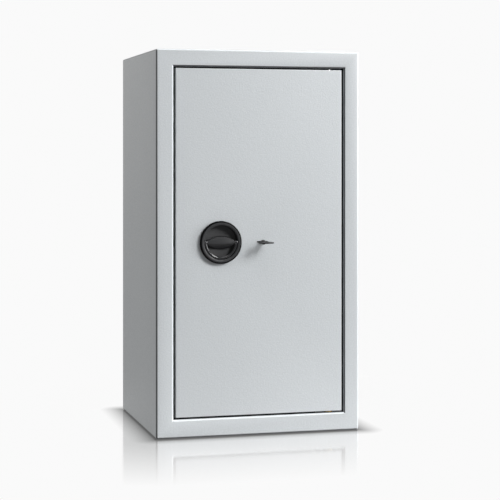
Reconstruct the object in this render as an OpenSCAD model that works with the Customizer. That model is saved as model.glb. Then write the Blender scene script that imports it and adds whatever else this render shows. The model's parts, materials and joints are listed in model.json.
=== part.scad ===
// Small steel cabinet safe with a double-walled body, a flush single door on concealed pivots,
// a turning cup handle with a fold-out bail, three-way boltwork and a double-bit lever lock.
// Millimetres. +Z is up and the door faces -Y. The origin is the centre of the underside.

/* [Body] */
// Outside width of the body
body_w = 350; // [350:1:480]
// Outside height of the body
body_h = 640; // [540:1:900]
// Outside depth of the body, from the frame's face to the back
body_d = 300; // [260:1:450]
// Thickness of the outer shell's steel sheet
shell_t = 3; // [2.6:0.1:4]
// Thickness of the inner liner's sheet
liner_t = 1.5; // [1:0.1:2]
// Outside radius of the shell's folded edges
fold_r = 3.5; // [2:0.1:4]
// Space between the liner's back and the outside of the body
back_wall = 28; // [20:1:40]

/* [Frame] */
// Width of the front frame on the lock side
frame_left = 29.5; // [27:0.5:36]
// Width of the front frame on the hinge side
frame_right = 26; // [24:0.5:34]
// Width of the front frame above the door
frame_top = 28.5; // [27:0.5:36]
// Width of the front frame below the door
frame_bottom = 30.5; // [27:0.5:36]
// Radius of the frame's inner folded edge
reveal_r = 4; // [2:0.1:4]
// Depth of the door opening's jamb
jamb_depth = 60; // [58:1:75]
// Width of the door's stop bar
stop_w = 8; // [6:0.5:8]
// Thickness of the door's stop bar
stop_t = 4; // [3:0.5:4]

/* [Door] */
// Gap around the door at the top, the bottom and the lock side
door_gap = 3.2; // [2.5:0.1:4]
// Gap on the hinge side
hinge_gap = 4.5; // [4.2:0.1:6]
// Thickness of the door plate
door_t = 6; // [4:0.5:6]
// Distance of the pivot from the door's hinge-side edge
pivot_inset = 20; // [18:0.5:24]
// Distance of the pivot behind the door's face
pivot_setback = 12; // [11.5:0.5:12]
// Radius of the hinge pins
hinge_pin_r = 4; // [3:0.1:4.2]
// Depth of the boltwork case behind the door plate
case_depth = 44.5; // [44:0.5:48]
// Sheet thickness of the boltwork case and its cover
case_t = 1.5; // [1:0.1:2]

/* [Handle] */
// Distance of the handle's axis from the door's lock-side edge
handle_inset = 75.6; // [74:0.1:100]
// Outer radius of the handle disc
handle_r = 35.5; // [34:0.5:40]
// Height of the handle disc above the door
handle_proud = 7; // [6:0.5:9]
// Inner radius of the handle's cup
cup_r = 28.8; // [28.6:0.1:30]
// Depth of the cup's floor behind the door's face
cup_sink = 4; // [3:0.5:4]
// Radius of the handle's spindle
spindle_r = 6; // [5:0.5:7]
// Radius from the bail's pivot line to the middle of its bow
bail_r = 25.9; // [24:0.1:26]
// Radius of the bail's round bar
bail_bar_r = 2.4; // [2:0.1:2.4]
// Height of the bail's pivot above the door
bail_pivot_h = 4; // [3:0.5:4.5]

/* [Boltwork] */
// Teeth on the spindle's pinion (a multiple of four keeps all three racks in phase)
pinion_teeth = 16; // [16:4:16]
// Module of the pinion and the racks
gear_module = 2; // [2:0.1:2]
// Radius of the round locking bolts
bolt_r = 8; // [6:0.5:9]
// Width of the flat rods that lock at the top and the bottom
rod_w = 12; // [10:1:12]
// Thickness of the flat rods and of the bolt carriage
bar_t = 6; // [5:0.5:6]
// Radius of the studs that carry the bolt carriage
stud_r = 4; // [3:0.5:5]

/* [Lock and key] */
// Sideways distance of the keyhole from the handle's axis
key_spacing = 72.7; // [72:0.1:85]
// How far the key stands out of the door
key_proud = 36; // [35:1:60]
// Radius of the key's bow
key_bow_r = 12.5; // [10:0.5:12.5]
// Radius of the key's round shank
key_shank_r = 2.6; // [2.2:0.1:2.7]
// Reach of each key bit from the key's axis
key_bit_r = 9.4; // [8:0.1:9.5]
// Thickness of the key's bits and bow
key_t = 2.2; // [1.8:0.1:2.5]
// Travel of the lock's bolt
lock_throw = 9; // [7:0.5:9]

/* [Inside] */
// Number of levers in the lock
lever_count = 5; // [3:1:5]
// Thickness of the shelves' sheet
shelf_t = 1.5; // [1:0.1:2]
// Height of the shelves' folded edges
shelf_edge = 18; // [12:1:25]
// Height of the lower shelf above the liner's floor
shelf_low_h = 190; // [120:1:220]
// Distance between the two shelves
shelf_pitch = 190; // [120:1:200]

/* [Fixing holes] */
// Radius of the holes for the anchor bolts
anchor_r = 6; // [5:0.5:7]
// Sideways distance between the anchor holes, in the back and in the base
anchor_x = 200; // [120:5:240]
// Upright distance between the back's anchor holes
anchor_z = 400; // [200:5:420]
// Front-to-back distance between the base's anchor holes
anchor_y = 120; // [60:5:130]
// Distance of the base's anchor pattern behind the body's middle
anchor_base_y = 30; // [0:5:40]

/* [Hidden] */
$fn = 64;

// Clearances: run_fit for shafts in bores, slide_fit for bars in slots, air where nothing guides.
run_fit = 0.05;
slide_fit = 0.3;
air = 1;
over = 1; // how far a cutter reaches past the surface it cuts

// Body
front_y = -body_d / 2;
back_y = body_d / 2;
side_x = body_w / 2;
open_x0 = -side_x + frame_left;
open_x1 = side_x - frame_right;
open_z0 = frame_bottom;
open_z1 = body_h - frame_top;
jamb_y = front_y + jamb_depth;
liner_y = back_y - back_wall;

// Door
door_x0 = open_x0 + door_gap;
door_x1 = open_x1 - hinge_gap;
door_z0 = open_z0 + door_gap;
door_z1 = open_z1 - door_gap;
door_mid_x = (door_x0 + door_x1) / 2;
door_mid_z = (door_z0 + door_z1) / 2;
door_back = front_y + door_t;
door_edge_r = 1;
pivot_x = door_x1 - pivot_inset;
pivot_y = front_y + pivot_setback;

// Stop bar and seal
stop_y0 = front_y + 8;
stop_y1 = stop_y0 + stop_t;
seal_gap = 0.3;
// the stop ends before the circle that the door's hinge edge sweeps
hinge_sweep_r = norm([pivot_inset, pivot_setback]);
stop_x1 = pivot_x - hinge_sweep_r - air;

// Boltwork case
case_x0 = door_x0 + 16;
case_x1 = pivot_x - 0.5;
case_end = 42; // from the door's ends to the case's ends, where the hinge blocks sit
case_z0 = door_z0 + case_end;
case_z1 = door_z1 - case_end;
case_y1 = door_back + case_depth;
case_flange = 13;
cover_y1 = case_y1 + case_t;
screw_r = 2;
screw_head_r = 4;
screw_head_h = 2.5;
screw_length = 6;
cover_screw_inset = 8;

// Hinge hardware
hinge_block_l = 28;
hinge_block_half = 12.5;
hinge_block_y1 = pivot_y + 10;
bush_wall = 1.2;
bush_flange_r = pivot_setback - door_t - 0.1; // just clear of the door plate's back
washer_r = hinge_pin_r + 3;
bush_flange_t = 1.5;
hinge_plate_t = 8;
hinge_plate_half = 20;
pin_engage = 24; // how far each hinge pin reaches into its bush

// Handle
handle_x = door_x0 + handle_inset;
handle_z = door_mid_z;
cup_wall = 2.2;
cup_floor = 2.5;
cup_back_y = front_y + cup_sink + cup_floor;
rosette_t = 1.2;
rosette_lip = 0.9; // the disc hides the fixed rosette by this much
disc_h0 = rosette_t + slide_fit;
disc_edge_r = 2;
web_r = bail_r - bail_bar_r - 0.4;
web_h = handle_proud - 1.5;
web_top = 9.2; // from the handle's axis up to the top of the web's upper arch
web_bottom = 11; // and down to the bottom of its lower arch
web_top_r = 42.8;
web_bottom_r = 35;
web_foot = 2; // height of the web's lower edge above the cup's floor
web_slope_z = -2; // the web's lower half slopes back from here
bail_pin_r = 1.3;
bail_ear_r = 3.2;
bail_pin_x0 = 19;
bail_pin_x1 = cup_r + 1.8;

// Pinion and racks: the rods mesh in the front layer, the carriage in the rear layer
pitch_r = gear_module * pinion_teeth / 2;
tooth_pitch = PI * gear_module;
tooth_up = 0.9 * gear_module;
tooth_down = 1.15 * gear_module;
pressure_angle = 20;
backlash = 0.3;
base_r = pitch_r * cos(pressure_angle);
bolt_throw = PI / 2 * pitch_r; // a quarter turn of the handle
rod_y0 = stop_y1 + 0.5;
rod_y1 = rod_y0 + bar_t;
carriage_y0 = rod_y1 + air;
carriage_y1 = carriage_y0 + bar_t;
pinion_y0 = rod_y0 - 0.5;
pinion_y1 = carriage_y1 + air;
bearing_t = 3;
bearing_y1 = pinion_y0 - 1.5;
bearing_y0 = bearing_y1 - bearing_t;
bearing_foot = 8;
bearing_half_x = cup_r + cup_wall + air + bearing_foot;
bearing_half_z = 13;
spindle_end_y = cover_y1 + 4;
circlip_t = 1;

// Bolt carriage
bar_x1 = handle_x - pitch_r - tooth_up - air;
bar_x0 = max(case_x0 + case_t + bolt_throw + 0.6, bar_x1 - 14);
bolt_y = (carriage_y0 + carriage_y1) / 2;
bolt_margin = 55;
bolt_spacing = (case_z1 - case_z0) / 2 - bolt_margin;
bolt_tip_x = open_x0 + stop_w + 2;
bush_out_x = bolt_tip_x + 2.5;
bolt_bush_r = bolt_r + 2.5;
rack_back_z = handle_z + pitch_r + tooth_down;
rack_arm_h = 20;
rack_teeth_each_way = 2;
travel_teeth = pinion_teeth / 4;
arm_half = 11;
stud_x = handle_x - 5;
stud_arm_x1 = stud_x + bolt_throw + stud_r + 9;
stud_z = [door_mid_z - bolt_spacing + arm_half, door_mid_z + bolt_spacing - arm_half];
stud_head_r = 7.5;
stud_head_t = 2.5;

// Upright rods
rod_tip = 10; // from the door's end to the retracted rod's tip
upper_rod_x = handle_x + pitch_r + tooth_down;
lower_rod_x = handle_x - pitch_r - tooth_down;
rack_reach = (travel_teeth + rack_teeth_each_way) * tooth_pitch;
rack_tail = rack_teeth_each_way * tooth_pitch;
guide_wall = 4;
guide_h = 24;

// Lock
key_x = handle_x + key_spacing;
key_z = door_mid_z - 0.5;
sweep_r = key_bit_r + 0.6; // room for the turning bits
keyhole_half = key_bit_r + 0.4;
hard_t = 3;
hard_half = 31;
lock_y0 = door_back + hard_t;
lock_wall = 1.5;
lock_y1 = lock_y0 + 34;
lock_half_x = 30;
lock_bolt_rim = 3;
lock_bolt_foot = 5;
lock_below = sweep_r + lock_throw + lock_bolt_foot + lock_wall + 1.5;
lock_above = sweep_r + lock_bolt_rim + lock_throw + lock_wall + 0.5;
lock_cover_t = 1.5;
lock_bolt_y0 = lock_y0 + 14;
lock_bolt_t = 5;
lock_bolt_half = 14.5;
lock_nose_half = 6;
lock_nose_z = key_z + lock_above + air;
lever_y0 = lock_bolt_y0 + lock_bolt_t + 1;
lever_t = 1.5;
lever_step = 2;
lever_post_r = 2.5;
lever_post_x = key_x + 17;
lever_post_z = key_z - 13;
key_tip_y = lock_y1 - 1.5;
bit_y0 = lock_bolt_y0 - air;
notch_z0 = lock_nose_z + 2.5;
notch_arm_h = 18;
notch_half = lock_nose_half + 1;
carriage_x1 = key_x + notch_half + bolt_throw + 7;
lock_screw_x = lock_half_x - 4.5;

// Shelves
shelf_gap = 1.5;
shelf_y0 = jamb_y + 20;
shelf_y1 = liner_y - 8;
shelf_z = [open_z0 + shelf_low_h, open_z0 + shelf_low_h + shelf_pitch];
bracket_t = 1.5;
bracket_l = 24;
bracket_w = 14;
bracket_h = 16;

// Height at which the back's anchor pattern is centred
anchor_mid_z = body_h / 2;

// Fixed dogs on the hinge side, and how far back one swings while it leaves the jamb
dog_half = 20;
dog_t = 10;
dog_reach = 8;
dog_y0 = pivot_y + 16;
dog_tip = open_x1 + dog_reach - pivot_x;
dog_back = dog_y0 + dog_t - pivot_y;
dog_slot_y1 = pivot_y + sqrt(dog_tip * dog_tip + dog_back * dog_back - pow(open_x1 - pivot_x, 2)) + 1.5;
function dog_z(s) = door_mid_z + s * bolt_spacing * 0.8;

// A block between two corners
module block(a, b) {
    translate(a) cube(b - a);
}

// A cylinder along each axis, from one end coordinate to the other
module rod_x(r, x0, x1, y, z) {
    translate([x0, y, z]) rotate([0, 90, 0]) cylinder(r = r, h = x1 - x0);
}

module rod_y(r, y0, y1, x, z) {
    translate([x, y0, z]) rotate([-90, 0, 0]) cylinder(r = r, h = y1 - y0);
}

module rod_z(r, z0, z1, x, y) {
    translate([x, y, z0]) cylinder(r = r, h = z1 - z0);
}

// A flat plate drawn as seen from the front (x right, y up) and made solid from y0 to y1
module plate_xz(y0, y1) {
    translate([0, y1, 0]) rotate([90, 0, 0]) linear_extrude(y1 - y0) children();
}

// Children drawn as seen from the front, with +z standing out of the door, at a point on its face
module on_door(x, z) {
    translate([x, front_y, z]) rotate([90, 0, 0]) children();
}

// Cutter that rounds an upright edge: the solid lies towards +x and +y of the edge
module edge_cutter(r, length) {
    difference() {
        translate([-over, -over, -over]) cube([r + over, r + over, length + 2 * over]);
        translate([r, r, -2 * over]) cylinder(r = r, h = length + 4 * over);
    }
}

// Cutters for the four edges, along Y, of a box centred on the axis of the body
module long_edge_cutters(x, z0, z1, y0, y1, r) {
    for (sx = [0, 1], sz = [0, 1])
        mirror([sx, 0, 0]) translate([0, 0, sz * (z0 + z1)]) mirror([0, 0, sz])
            translate([-x, y1, z0]) rotate([90, 0, 0]) edge_cutter(r, y1 - y0);
}

// Cutters for the front edges of a plate whose face is at y, between two corners
module front_edge_cutters(x0, x1, z0, z1, y, r) {
    translate([x0, y, z0]) edge_cutter(r, z1 - z0);
    translate([x1, y, z0]) mirror([1, 0, 0]) edge_cutter(r, z1 - z0);
    translate([x1, y, z0]) rotate([0, -90, 0]) edge_cutter(r, x1 - x0);
    translate([x1, y, z1]) mirror([0, 0, 1]) rotate([0, -90, 0]) edge_cutter(r, x1 - x0);
}

// Cutters for the front edges of an opening, where the solid lies outside the corners
module opening_edge_cutters(x0, x1, z0, z1, y, r) {
    translate([x0, y, z0]) mirror([1, 0, 0]) edge_cutter(r, z1 - z0);
    translate([x1, y, z0]) edge_cutter(r, z1 - z0);
    translate([x1, y, z0]) mirror([0, 0, 1]) rotate([0, -90, 0]) edge_cutter(r, x1 - x0);
    translate([x1, y, z1]) rotate([0, -90, 0]) edge_cutter(r, x1 - x0);
}

// The four anchor holes through the back wall, and the four through the floor
module back_anchor_holes() {
    for (sx = [-1, 1], sz = [-1, 1])
        rod_y(anchor_r, liner_y - over, back_y + over, sx * anchor_x / 2, anchor_mid_z + sz * anchor_z / 2);
}

module base_anchor_holes() {
    for (sx = [-1, 1], sy = [-1, 1])
        rod_z(anchor_r, -over, open_z0 + over, sx * anchor_x / 2, anchor_base_y + sy * anchor_y / 2);
}

// Slots in the jamb for the rods, holes for the round bolts, and pockets for the hinge-side dogs
module jamb_cuts() {
    for (k = [-1, 0, 1])
        rod_x(bolt_r + 0.8, open_x0 - shell_t - over, open_x0 + over, bolt_y, door_mid_z + k * bolt_spacing);
    block([upper_rod_x - slide_fit * 2, rod_y0 - slide_fit, open_z1 - over],
          [upper_rod_x + rod_w + slide_fit * 2, rod_y1 + slide_fit * 2, open_z1 + shell_t + over]);
    block([lower_rod_x - rod_w - slide_fit * 2, rod_y0 - slide_fit, open_z0 - shell_t - over],
          [lower_rod_x + slide_fit * 2, rod_y1 + slide_fit * 2, open_z0 + over]);
    for (s = [-1, 1])
        block([open_x1 - over, dog_y0 - 1.5, dog_z(s) - dog_half - 1.5],
              [open_x1 + shell_t + over, dog_slot_y1, dog_z(s) + dog_half + 1.5]);
    for (z = [open_z0 - shell_t - over, open_z1 - over])
        rod_z(hinge_pin_r, z, z + shell_t + 2 * over, pivot_x, pivot_y);
}

module body_shell() {
    color("gainsboro") difference() {
        union() {
            difference() {
                block([-side_x, front_y, 0], [side_x, back_y, body_h]);
                block([-side_x + shell_t, front_y + shell_t, shell_t],
                      [side_x - shell_t, back_y + over, body_h - shell_t]);
            }
            block([open_x0 - shell_t, front_y, open_z0 - shell_t],
                  [open_x1 + shell_t, jamb_y, open_z1 + shell_t]);
        }
        block([open_x0, front_y - over, open_z0], [open_x1, jamb_y + over, open_z1]);
        long_edge_cutters(side_x, 0, body_h, front_y, back_y, fold_r);
        front_edge_cutters(-side_x, side_x, 0, body_h, front_y, fold_r);
        opening_edge_cutters(open_x0, open_x1, open_z0, open_z1, front_y, reveal_r);
        jamb_cuts();
        base_anchor_holes();
    }
}

module back_panel() {
    color("gainsboro") difference() {
        block([-side_x + shell_t, back_y - shell_t, shell_t], [side_x - shell_t, back_y, body_h - shell_t]);
        back_anchor_holes();
    }
}

module inner_liner() {
    color("gainsboro") difference() {
        block([open_x0 - liner_t, jamb_y, open_z0 - liner_t], [open_x1 + liner_t, liner_y + liner_t, open_z1 + liner_t]);
        block([open_x0, jamb_y - over, open_z0], [open_x1, liner_y, open_z1]);
        back_anchor_holes();
        base_anchor_holes();
    }
}

module wall_filling() {
    color("lightgray") difference() {
        block([-side_x + shell_t, jamb_y + air, shell_t], [side_x - shell_t, back_y - shell_t, body_h - shell_t]);
        block([open_x0 - liner_t, jamb_y, open_z0 - liner_t], [open_x1 + liner_t, liner_y + liner_t, open_z1 + liner_t]);
        back_anchor_holes();
        base_anchor_holes();
    }
}

// A strip round three sides of the door opening, between two distances from its jamb
module stop_outline(outer, inner, end_x) {
    difference() {
        translate([open_x0 + outer, open_z0 + outer])
            square([end_x - open_x0 - outer, open_z1 - open_z0 - 2 * outer]);
        translate([open_x0 + inner, open_z0 + inner])
            square([end_x - open_x0, open_z1 - open_z0 - 2 * inner]);
    }
}

// Flat bar welded round the jamb, which the closed door rests against
module stop_frame() {
    color("gainsboro") plate_xz(stop_y0, stop_y1) stop_outline(0, stop_w, stop_x1);
}

// Foam strip stuck to the stop bar, hidden behind the door's edge
module door_seal() {
    color("dimgray") plate_xz(door_back + seal_gap, stop_y0)
        stop_outline(door_gap + 0.3, stop_w - 0.5, stop_x1 - 2);
}

// Steel plate behind the jamb that takes a hinge pin
module hinge_plate(z0) {
    color("silver") difference() {
        block([pivot_x - hinge_plate_half, front_y + shell_t, z0],
              [pivot_x + hinge_plate_half, pivot_y + hinge_plate_half, z0 + hinge_plate_t]);
        rod_z(hinge_pin_r, z0 - over, z0 + hinge_plate_t + over, pivot_x, pivot_y);
    }
}

module hinge_plate_upper() {
    hinge_plate(open_z1 + shell_t);
}

module hinge_plate_lower() {
    hinge_plate(open_z0 - shell_t - hinge_plate_t);
}

module hinge_pin_upper() {
    color("silver")
        rod_z(hinge_pin_r, door_z1 - pin_engage, open_z1 + shell_t + hinge_plate_t, pivot_x, pivot_y);
}

module hinge_pin_lower() {
    color("silver")
        rod_z(hinge_pin_r, open_z0 - shell_t - hinge_plate_t, door_z0 + pin_engage, pivot_x, pivot_y);
}

module thrust_washer() {
    color("goldenrod") difference() {
        rod_z(washer_r, open_z0, door_z0 - slide_fit, pivot_x, pivot_y);
        rod_z(hinge_pin_r, open_z0 - over, door_z0 + over, pivot_x, pivot_y);
    }
}

// Folded steel shelf with its front and rear edges turned down
module shelf(z) {
    color("gainsboro") {
        block([open_x0 + shelf_gap, shelf_y0, z], [open_x1 - shelf_gap, shelf_y1, z + shelf_t]);
        for (y = [shelf_y0, shelf_y1 - shelf_t])
            block([open_x0 + shelf_gap + bracket_w + air, y, z - shelf_edge],
                  [open_x1 - shelf_gap - bracket_w - air, y + shelf_t, z]);
    }
}

module shelf_upper() {
    shelf(shelf_z[1]);
}

module shelf_lower() {
    shelf(shelf_z[0]);
}

// Angle brackets welded to the liner's sides, two a side under each shelf
module shelf_brackets() {
    color("gainsboro")
        for (z = shelf_z, y = [shelf_y0 + 12, shelf_y1 - 12 - bracket_l], right = [false, true])
            translate([right ? open_x1 : open_x0, y, z]) mirror([right ? 1 : 0, 0, 0]) {
                translate([0, 0, -bracket_h]) cube([bracket_t, bracket_l, bracket_h]);
                translate([bracket_t, 0, -bracket_t]) cube([bracket_w - bracket_t, bracket_l, bracket_t]);
            }
}

// The keyhole: a round middle for the shank with a slot each way for the bits
module keyhole_outline(extra) {
    circle(r = key_shank_r + extra);
    square([2 * keyhole_half, key_t + 2 * extra], center = true);
}

module keyhole_cut(y0, y1) {
    translate([key_x, 0, key_z]) plate_xz(y0, y1) keyhole_outline(0.4);
}

module door_plate() {
    color("whitesmoke") difference() {
        block([door_x0, front_y, door_z0], [door_x1, door_back, door_z1]);
        front_edge_cutters(door_x0, door_x1, door_z0, door_z1, front_y, door_edge_r);
        rod_y(cup_r + cup_wall + 0.4, front_y - over, door_back + over, handle_x, handle_z);
        keyhole_cut(front_y - over, door_back + over);
    }
}

module case_screw_cuts(y0, y1) {
    for (x = [case_x0 + cover_screw_inset, case_x1 - cover_screw_inset])
        for (k = [0:3])
            rod_y(screw_r, y0, y1, x, cover_screw_z(k));
}
function cover_screw_z(k) =
    case_z0 + cover_screw_inset + k * (case_z1 - case_z0 - 2 * cover_screw_inset) / 3;

// Boltwork case: four walls behind the door plate, with a flange for the cover
module door_case() {
    color("gainsboro") difference() {
        block([case_x0, door_back, case_z0], [case_x1, case_y1, case_z1]);
        block([case_x0 + case_t, door_back - over, case_z0 + case_t],
              [case_x1 - case_t, case_y1 - case_t, case_z1 - case_t]);
        block([case_x0 + case_flange, door_back, case_z0 + case_flange],
              [case_x1 - case_flange, case_y1 + over, case_z1 - case_flange]);
        for (k = [-1, 0, 1])
            rod_x(bolt_bush_r, case_x0 - over, case_x0 + case_t + over, bolt_y, door_mid_z + k * bolt_spacing);
        block([upper_rod_x - slide_fit, rod_y0 - slide_fit, case_z1 - case_t - over],
              [upper_rod_x + rod_w + slide_fit, rod_y1 + slide_fit, case_z1 + over]);
        block([lower_rod_x - rod_w - slide_fit, rod_y0 - slide_fit, case_z0 - over],
              [lower_rod_x + slide_fit, rod_y1 + slide_fit, case_z0 + case_t + over]);
        case_screw_cuts(case_y1 - case_t - over, case_y1 + over);
    }
}

module door_cover() {
    color("gainsboro") difference() {
        block([case_x0, case_y1, case_z0], [case_x1, cover_y1, case_z1]);
        case_screw_cuts(case_y1 - over, cover_y1 + over);
        rod_y(spindle_r + 3, case_y1 - over, cover_y1 + over, handle_x, handle_z);
    }
}

module cover_screws() {
    color("silver")
        for (x = [case_x0 + cover_screw_inset, case_x1 - cover_screw_inset])
            for (k = [0:3]) {
                rod_y(screw_r, cover_y1 - screw_length, cover_y1, x, cover_screw_z(k));
                difference() {
                    rod_y(screw_head_r, cover_y1, cover_y1 + screw_head_h, x, cover_screw_z(k));
                    translate([x, cover_y1 + screw_head_h, cover_screw_z(k)]) rotate([90, 0, 0])
                        cylinder(r = 1.7, h = 1.5, $fn = 6);
                }
            }
}

// Block behind the door plate that holds a hinge bush
module hinge_block(z0) {
    color("silver") difference() {
        block([pivot_x - hinge_block_half, door_back, z0],
              [pivot_x + hinge_block_half, hinge_block_y1, z0 + hinge_block_l]);
        rod_z(hinge_pin_r + bush_wall, z0 - over, z0 + hinge_block_l + over, pivot_x, pivot_y);
    }
}

module hinge_block_upper() {
    hinge_block(door_z1 - bush_flange_t - hinge_block_l);
}

module hinge_block_lower() {
    hinge_block(door_z0 + bush_flange_t);
}

// Flanged bush, drawn with its flange at z = 0 and its barrel upwards
module hinge_bush() {
    color("goldenrod") difference() {
        union() {
            cylinder(r = bush_flange_r, h = bush_flange_t);
            cylinder(r = hinge_pin_r + bush_wall, h = bush_flange_t + hinge_block_l);
        }
        translate([0, 0, -over]) cylinder(r = hinge_pin_r + run_fit, h = hinge_block_l + bush_flange_t + 2 * over);
    }
}

module hinge_bush_upper() {
    translate([pivot_x, pivot_y, door_z1]) mirror([0, 0, 1]) hinge_bush();
}

module hinge_bush_lower() {
    translate([pivot_x, pivot_y, door_z0]) hinge_bush();
}

module hinge_side_dogs() {
    color("silver")
        for (s = [-1, 1])
            block([case_x1, dog_y0, dog_z(s) - dog_half], [open_x1 + dog_reach, dog_y0 + dog_t, dog_z(s) + dog_half]);
}

module bolt_bushes() {
    color("goldenrod")
        for (k = [-1, 0, 1])
            difference() {
                rod_x(bolt_bush_r, bush_out_x, case_x0 + case_t, bolt_y, door_mid_z + k * bolt_spacing);
                rod_x(bolt_r + run_fit, bush_out_x - over, case_x0 + case_t + over, bolt_y,
                      door_mid_z + k * bolt_spacing);
            }
}

// Guide block fixed behind the door plate, round one upright rod
module rod_guide(x0, z) {
    difference() {
        block([x0 - guide_wall, door_back, z - guide_h / 2],
              [x0 + rod_w + guide_wall, rod_y1 + slide_fit, z + guide_h / 2]);
        block([x0 - slide_fit, rod_y0 - slide_fit, z - guide_h / 2 - over],
              [x0 + rod_w + slide_fit, rod_y1 + over, z + guide_h / 2 + over]);
    }
}

module rod_guides() {
    color("ivory") {
        rod_guide(upper_rod_x, (handle_z + case_z1) / 2);
        rod_guide(upper_rod_x, case_z1 - guide_h);
        rod_guide(lower_rod_x - rod_w, (handle_z + case_z0) / 2);
        rod_guide(lower_rod_x - rod_w, case_z0 + guide_h);
    }
}

module carriage_studs() {
    color("silver")
        for (z = stud_z) {
            rod_y(stud_r + 2.5, door_back, carriage_y0 - slide_fit, stud_x, z);
            rod_y(stud_r, carriage_y0 - slide_fit, carriage_y1 + slide_fit, stud_x, z);
            rod_y(stud_head_r, carriage_y1 + slide_fit, carriage_y1 + slide_fit + stud_head_t, stud_x, z);
        }
}

module handle_rosette() {
    color("black") on_door(handle_x, handle_z) difference() {
        cylinder(r = handle_r - rosette_lip, h = rosette_t);
        translate([0, 0, -over]) cylinder(r = cup_r + cup_wall + 0.4, h = rosette_t + 2 * over);
    }
}

// Bridge behind the cup that carries the spindle's front bearing
module bearing_bridge() {
    color("silver") difference() {
        union() {
            block([handle_x - bearing_half_x, bearing_y0, handle_z - bearing_half_z],
                  [handle_x + bearing_half_x, bearing_y1, handle_z + bearing_half_z]);
            for (s = [-1, 1])
                block([handle_x + s * (bearing_half_x - bearing_foot / 2) - bearing_foot / 2, door_back,
                       handle_z - bearing_half_z],
                      [handle_x + s * (bearing_half_x - bearing_foot / 2) + bearing_foot / 2, bearing_y0,
                       handle_z + bearing_half_z]);
        }
        rod_y(spindle_r + run_fit, bearing_y0 - over, bearing_y1 + over, handle_x, handle_z);
    }
}

module spindle_bush() {
    color("goldenrod") difference() {
        union() {
            rod_y(spindle_r + 3, case_y1, cover_y1, handle_x, handle_z);
            rod_y(spindle_r + 5, case_y1 - 4, case_y1, handle_x, handle_z);
        }
        rod_y(spindle_r + run_fit, case_y1 - 4 - over, cover_y1 + over, handle_x, handle_z);
    }
}

module hard_plate() {
    color("dimgray") difference() {
        block([key_x - hard_half, door_back, key_z - lock_below], [key_x + hard_half, lock_y0, key_z + lock_above]);
        keyhole_cut(door_back - over, lock_y0 + over);
    }
}

module lock_screw_holes() {
    for (s = [-1, 1], z = [key_z - lock_below + 5, key_z + lock_above - 5])
        rod_y(screw_r, lock_y0, lock_y1 + lock_cover_t + over, key_x + s * lock_screw_x, z);
}

// Lock case: an open-backed box with corner posts for its screws
module lock_case() {
    color("silver") difference() {
        union() {
            difference() {
                block([key_x - lock_half_x, lock_y0, key_z - lock_below],
                      [key_x + lock_half_x, lock_y1, key_z + lock_above]);
                block([key_x - lock_half_x + lock_wall, lock_y0 + lock_wall, key_z - lock_below + lock_wall],
                      [key_x + lock_half_x - lock_wall, lock_y1 + over, key_z + lock_above - lock_wall]);
            }
            for (s = [-1, 1], z = [key_z - lock_below + 5, key_z + lock_above - 5])
                rod_y(4, lock_y0, lock_y1, key_x + s * lock_screw_x, z);
        }
        keyhole_cut(lock_y0 - over, lock_y0 + lock_wall + over);
        block([key_x - lock_nose_half - slide_fit, lock_bolt_y0 - slide_fit, key_z + lock_above - lock_wall - over],
              [key_x + lock_nose_half + slide_fit, lock_bolt_y0 + lock_bolt_t + slide_fit, key_z + lock_above + over]);
        lock_screw_holes();
    }
}

module lock_cover() {
    color("silver") difference() {
        block([key_x - lock_half_x, lock_y1, key_z - lock_below],
              [key_x + lock_half_x, lock_y1 + lock_cover_t, key_z + lock_above]);
        lock_screw_holes();
    }
}

module lock_screws() {
    color("silver")
        for (s = [-1, 1], z = [key_z - lock_below + 5, key_z + lock_above - 5]) {
            rod_y(screw_r, lock_y0 + 4, lock_y1 + lock_cover_t, key_x + s * lock_screw_x, z);
            rod_y(screw_head_r - 0.5, lock_y1 + lock_cover_t, lock_y1 + lock_cover_t + 1.5,
                  key_x + s * lock_screw_x, z);
        }
}

// One lever, drawn as seen from the front: a plate with a window round the key and a pivot hole
module lever_outline() {
    difference() {
        union() {
            translate([key_x - 13.5, key_z - 6]) square([28, 20]);
            translate([key_x - 13.5, key_z - 17]) square([35, 20]);
        }
        translate([key_x, key_z]) circle(r = sweep_r + 0.3);
        translate([lever_post_x, lever_post_z]) circle(r = lever_post_r + run_fit);
    }
}

module lever_pack() {
    color("goldenrod")
        for (i = [0:lever_count - 1])
            plate_xz(lever_y0 + i * lever_step, lever_y0 + i * lever_step + lever_t) lever_outline();
}

module lever_post() {
    color("silver") rod_y(lever_post_r, lever_y0 - 0.5, lock_y1, lever_post_x, lever_post_z);
}

// Thin leaf springs that stand on the levers and bear on the case's roof
module lever_springs() {
    color("silver")
        for (i = [0:lever_count - 1])
            plate_xz(lever_y0 + i * lever_step + 0.2, lever_y0 + i * lever_step + lever_t - 0.2)
                polygon([
                    [key_x - 10, key_z + 14],
                    [key_x - 9, key_z + 14],
                    [key_x + 9, key_z + lock_above - lock_wall - 0.4],
                    [key_x + 9, key_z + lock_above - lock_wall],
                    [key_x + 8, key_z + lock_above - lock_wall]
                ]);
}

// The web: a lens between the bail's pivots, drawn about the handle's axis
module web_outline() {
    intersection() {
        circle(r = web_r);
        translate([0, web_top - web_top_r]) circle(r = web_top_r);
        translate([0, web_bottom_r - web_bottom]) circle(r = web_bottom_r);
    }
}

// Turning handle: a rim that stands on the door, a sunk cup and the web across it
// The web across the cup, full height under the pins and sloping back to its lower edge
module web() {
    difference() {
        translate([0, 0, -cup_sink]) linear_extrude(cup_sink + web_h) web_outline();
        translate([-cup_r, 0, 0]) rotate([90, 0, 90]) linear_extrude(2 * cup_r)
            polygon([
                [web_slope_z, web_h],
                [-web_bottom, web_foot - cup_sink],
                [-web_bottom - over, web_foot - cup_sink],
                [-web_bottom - over, web_h + over],
                [web_slope_z, web_h + over]
            ]);
    }
}

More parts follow.
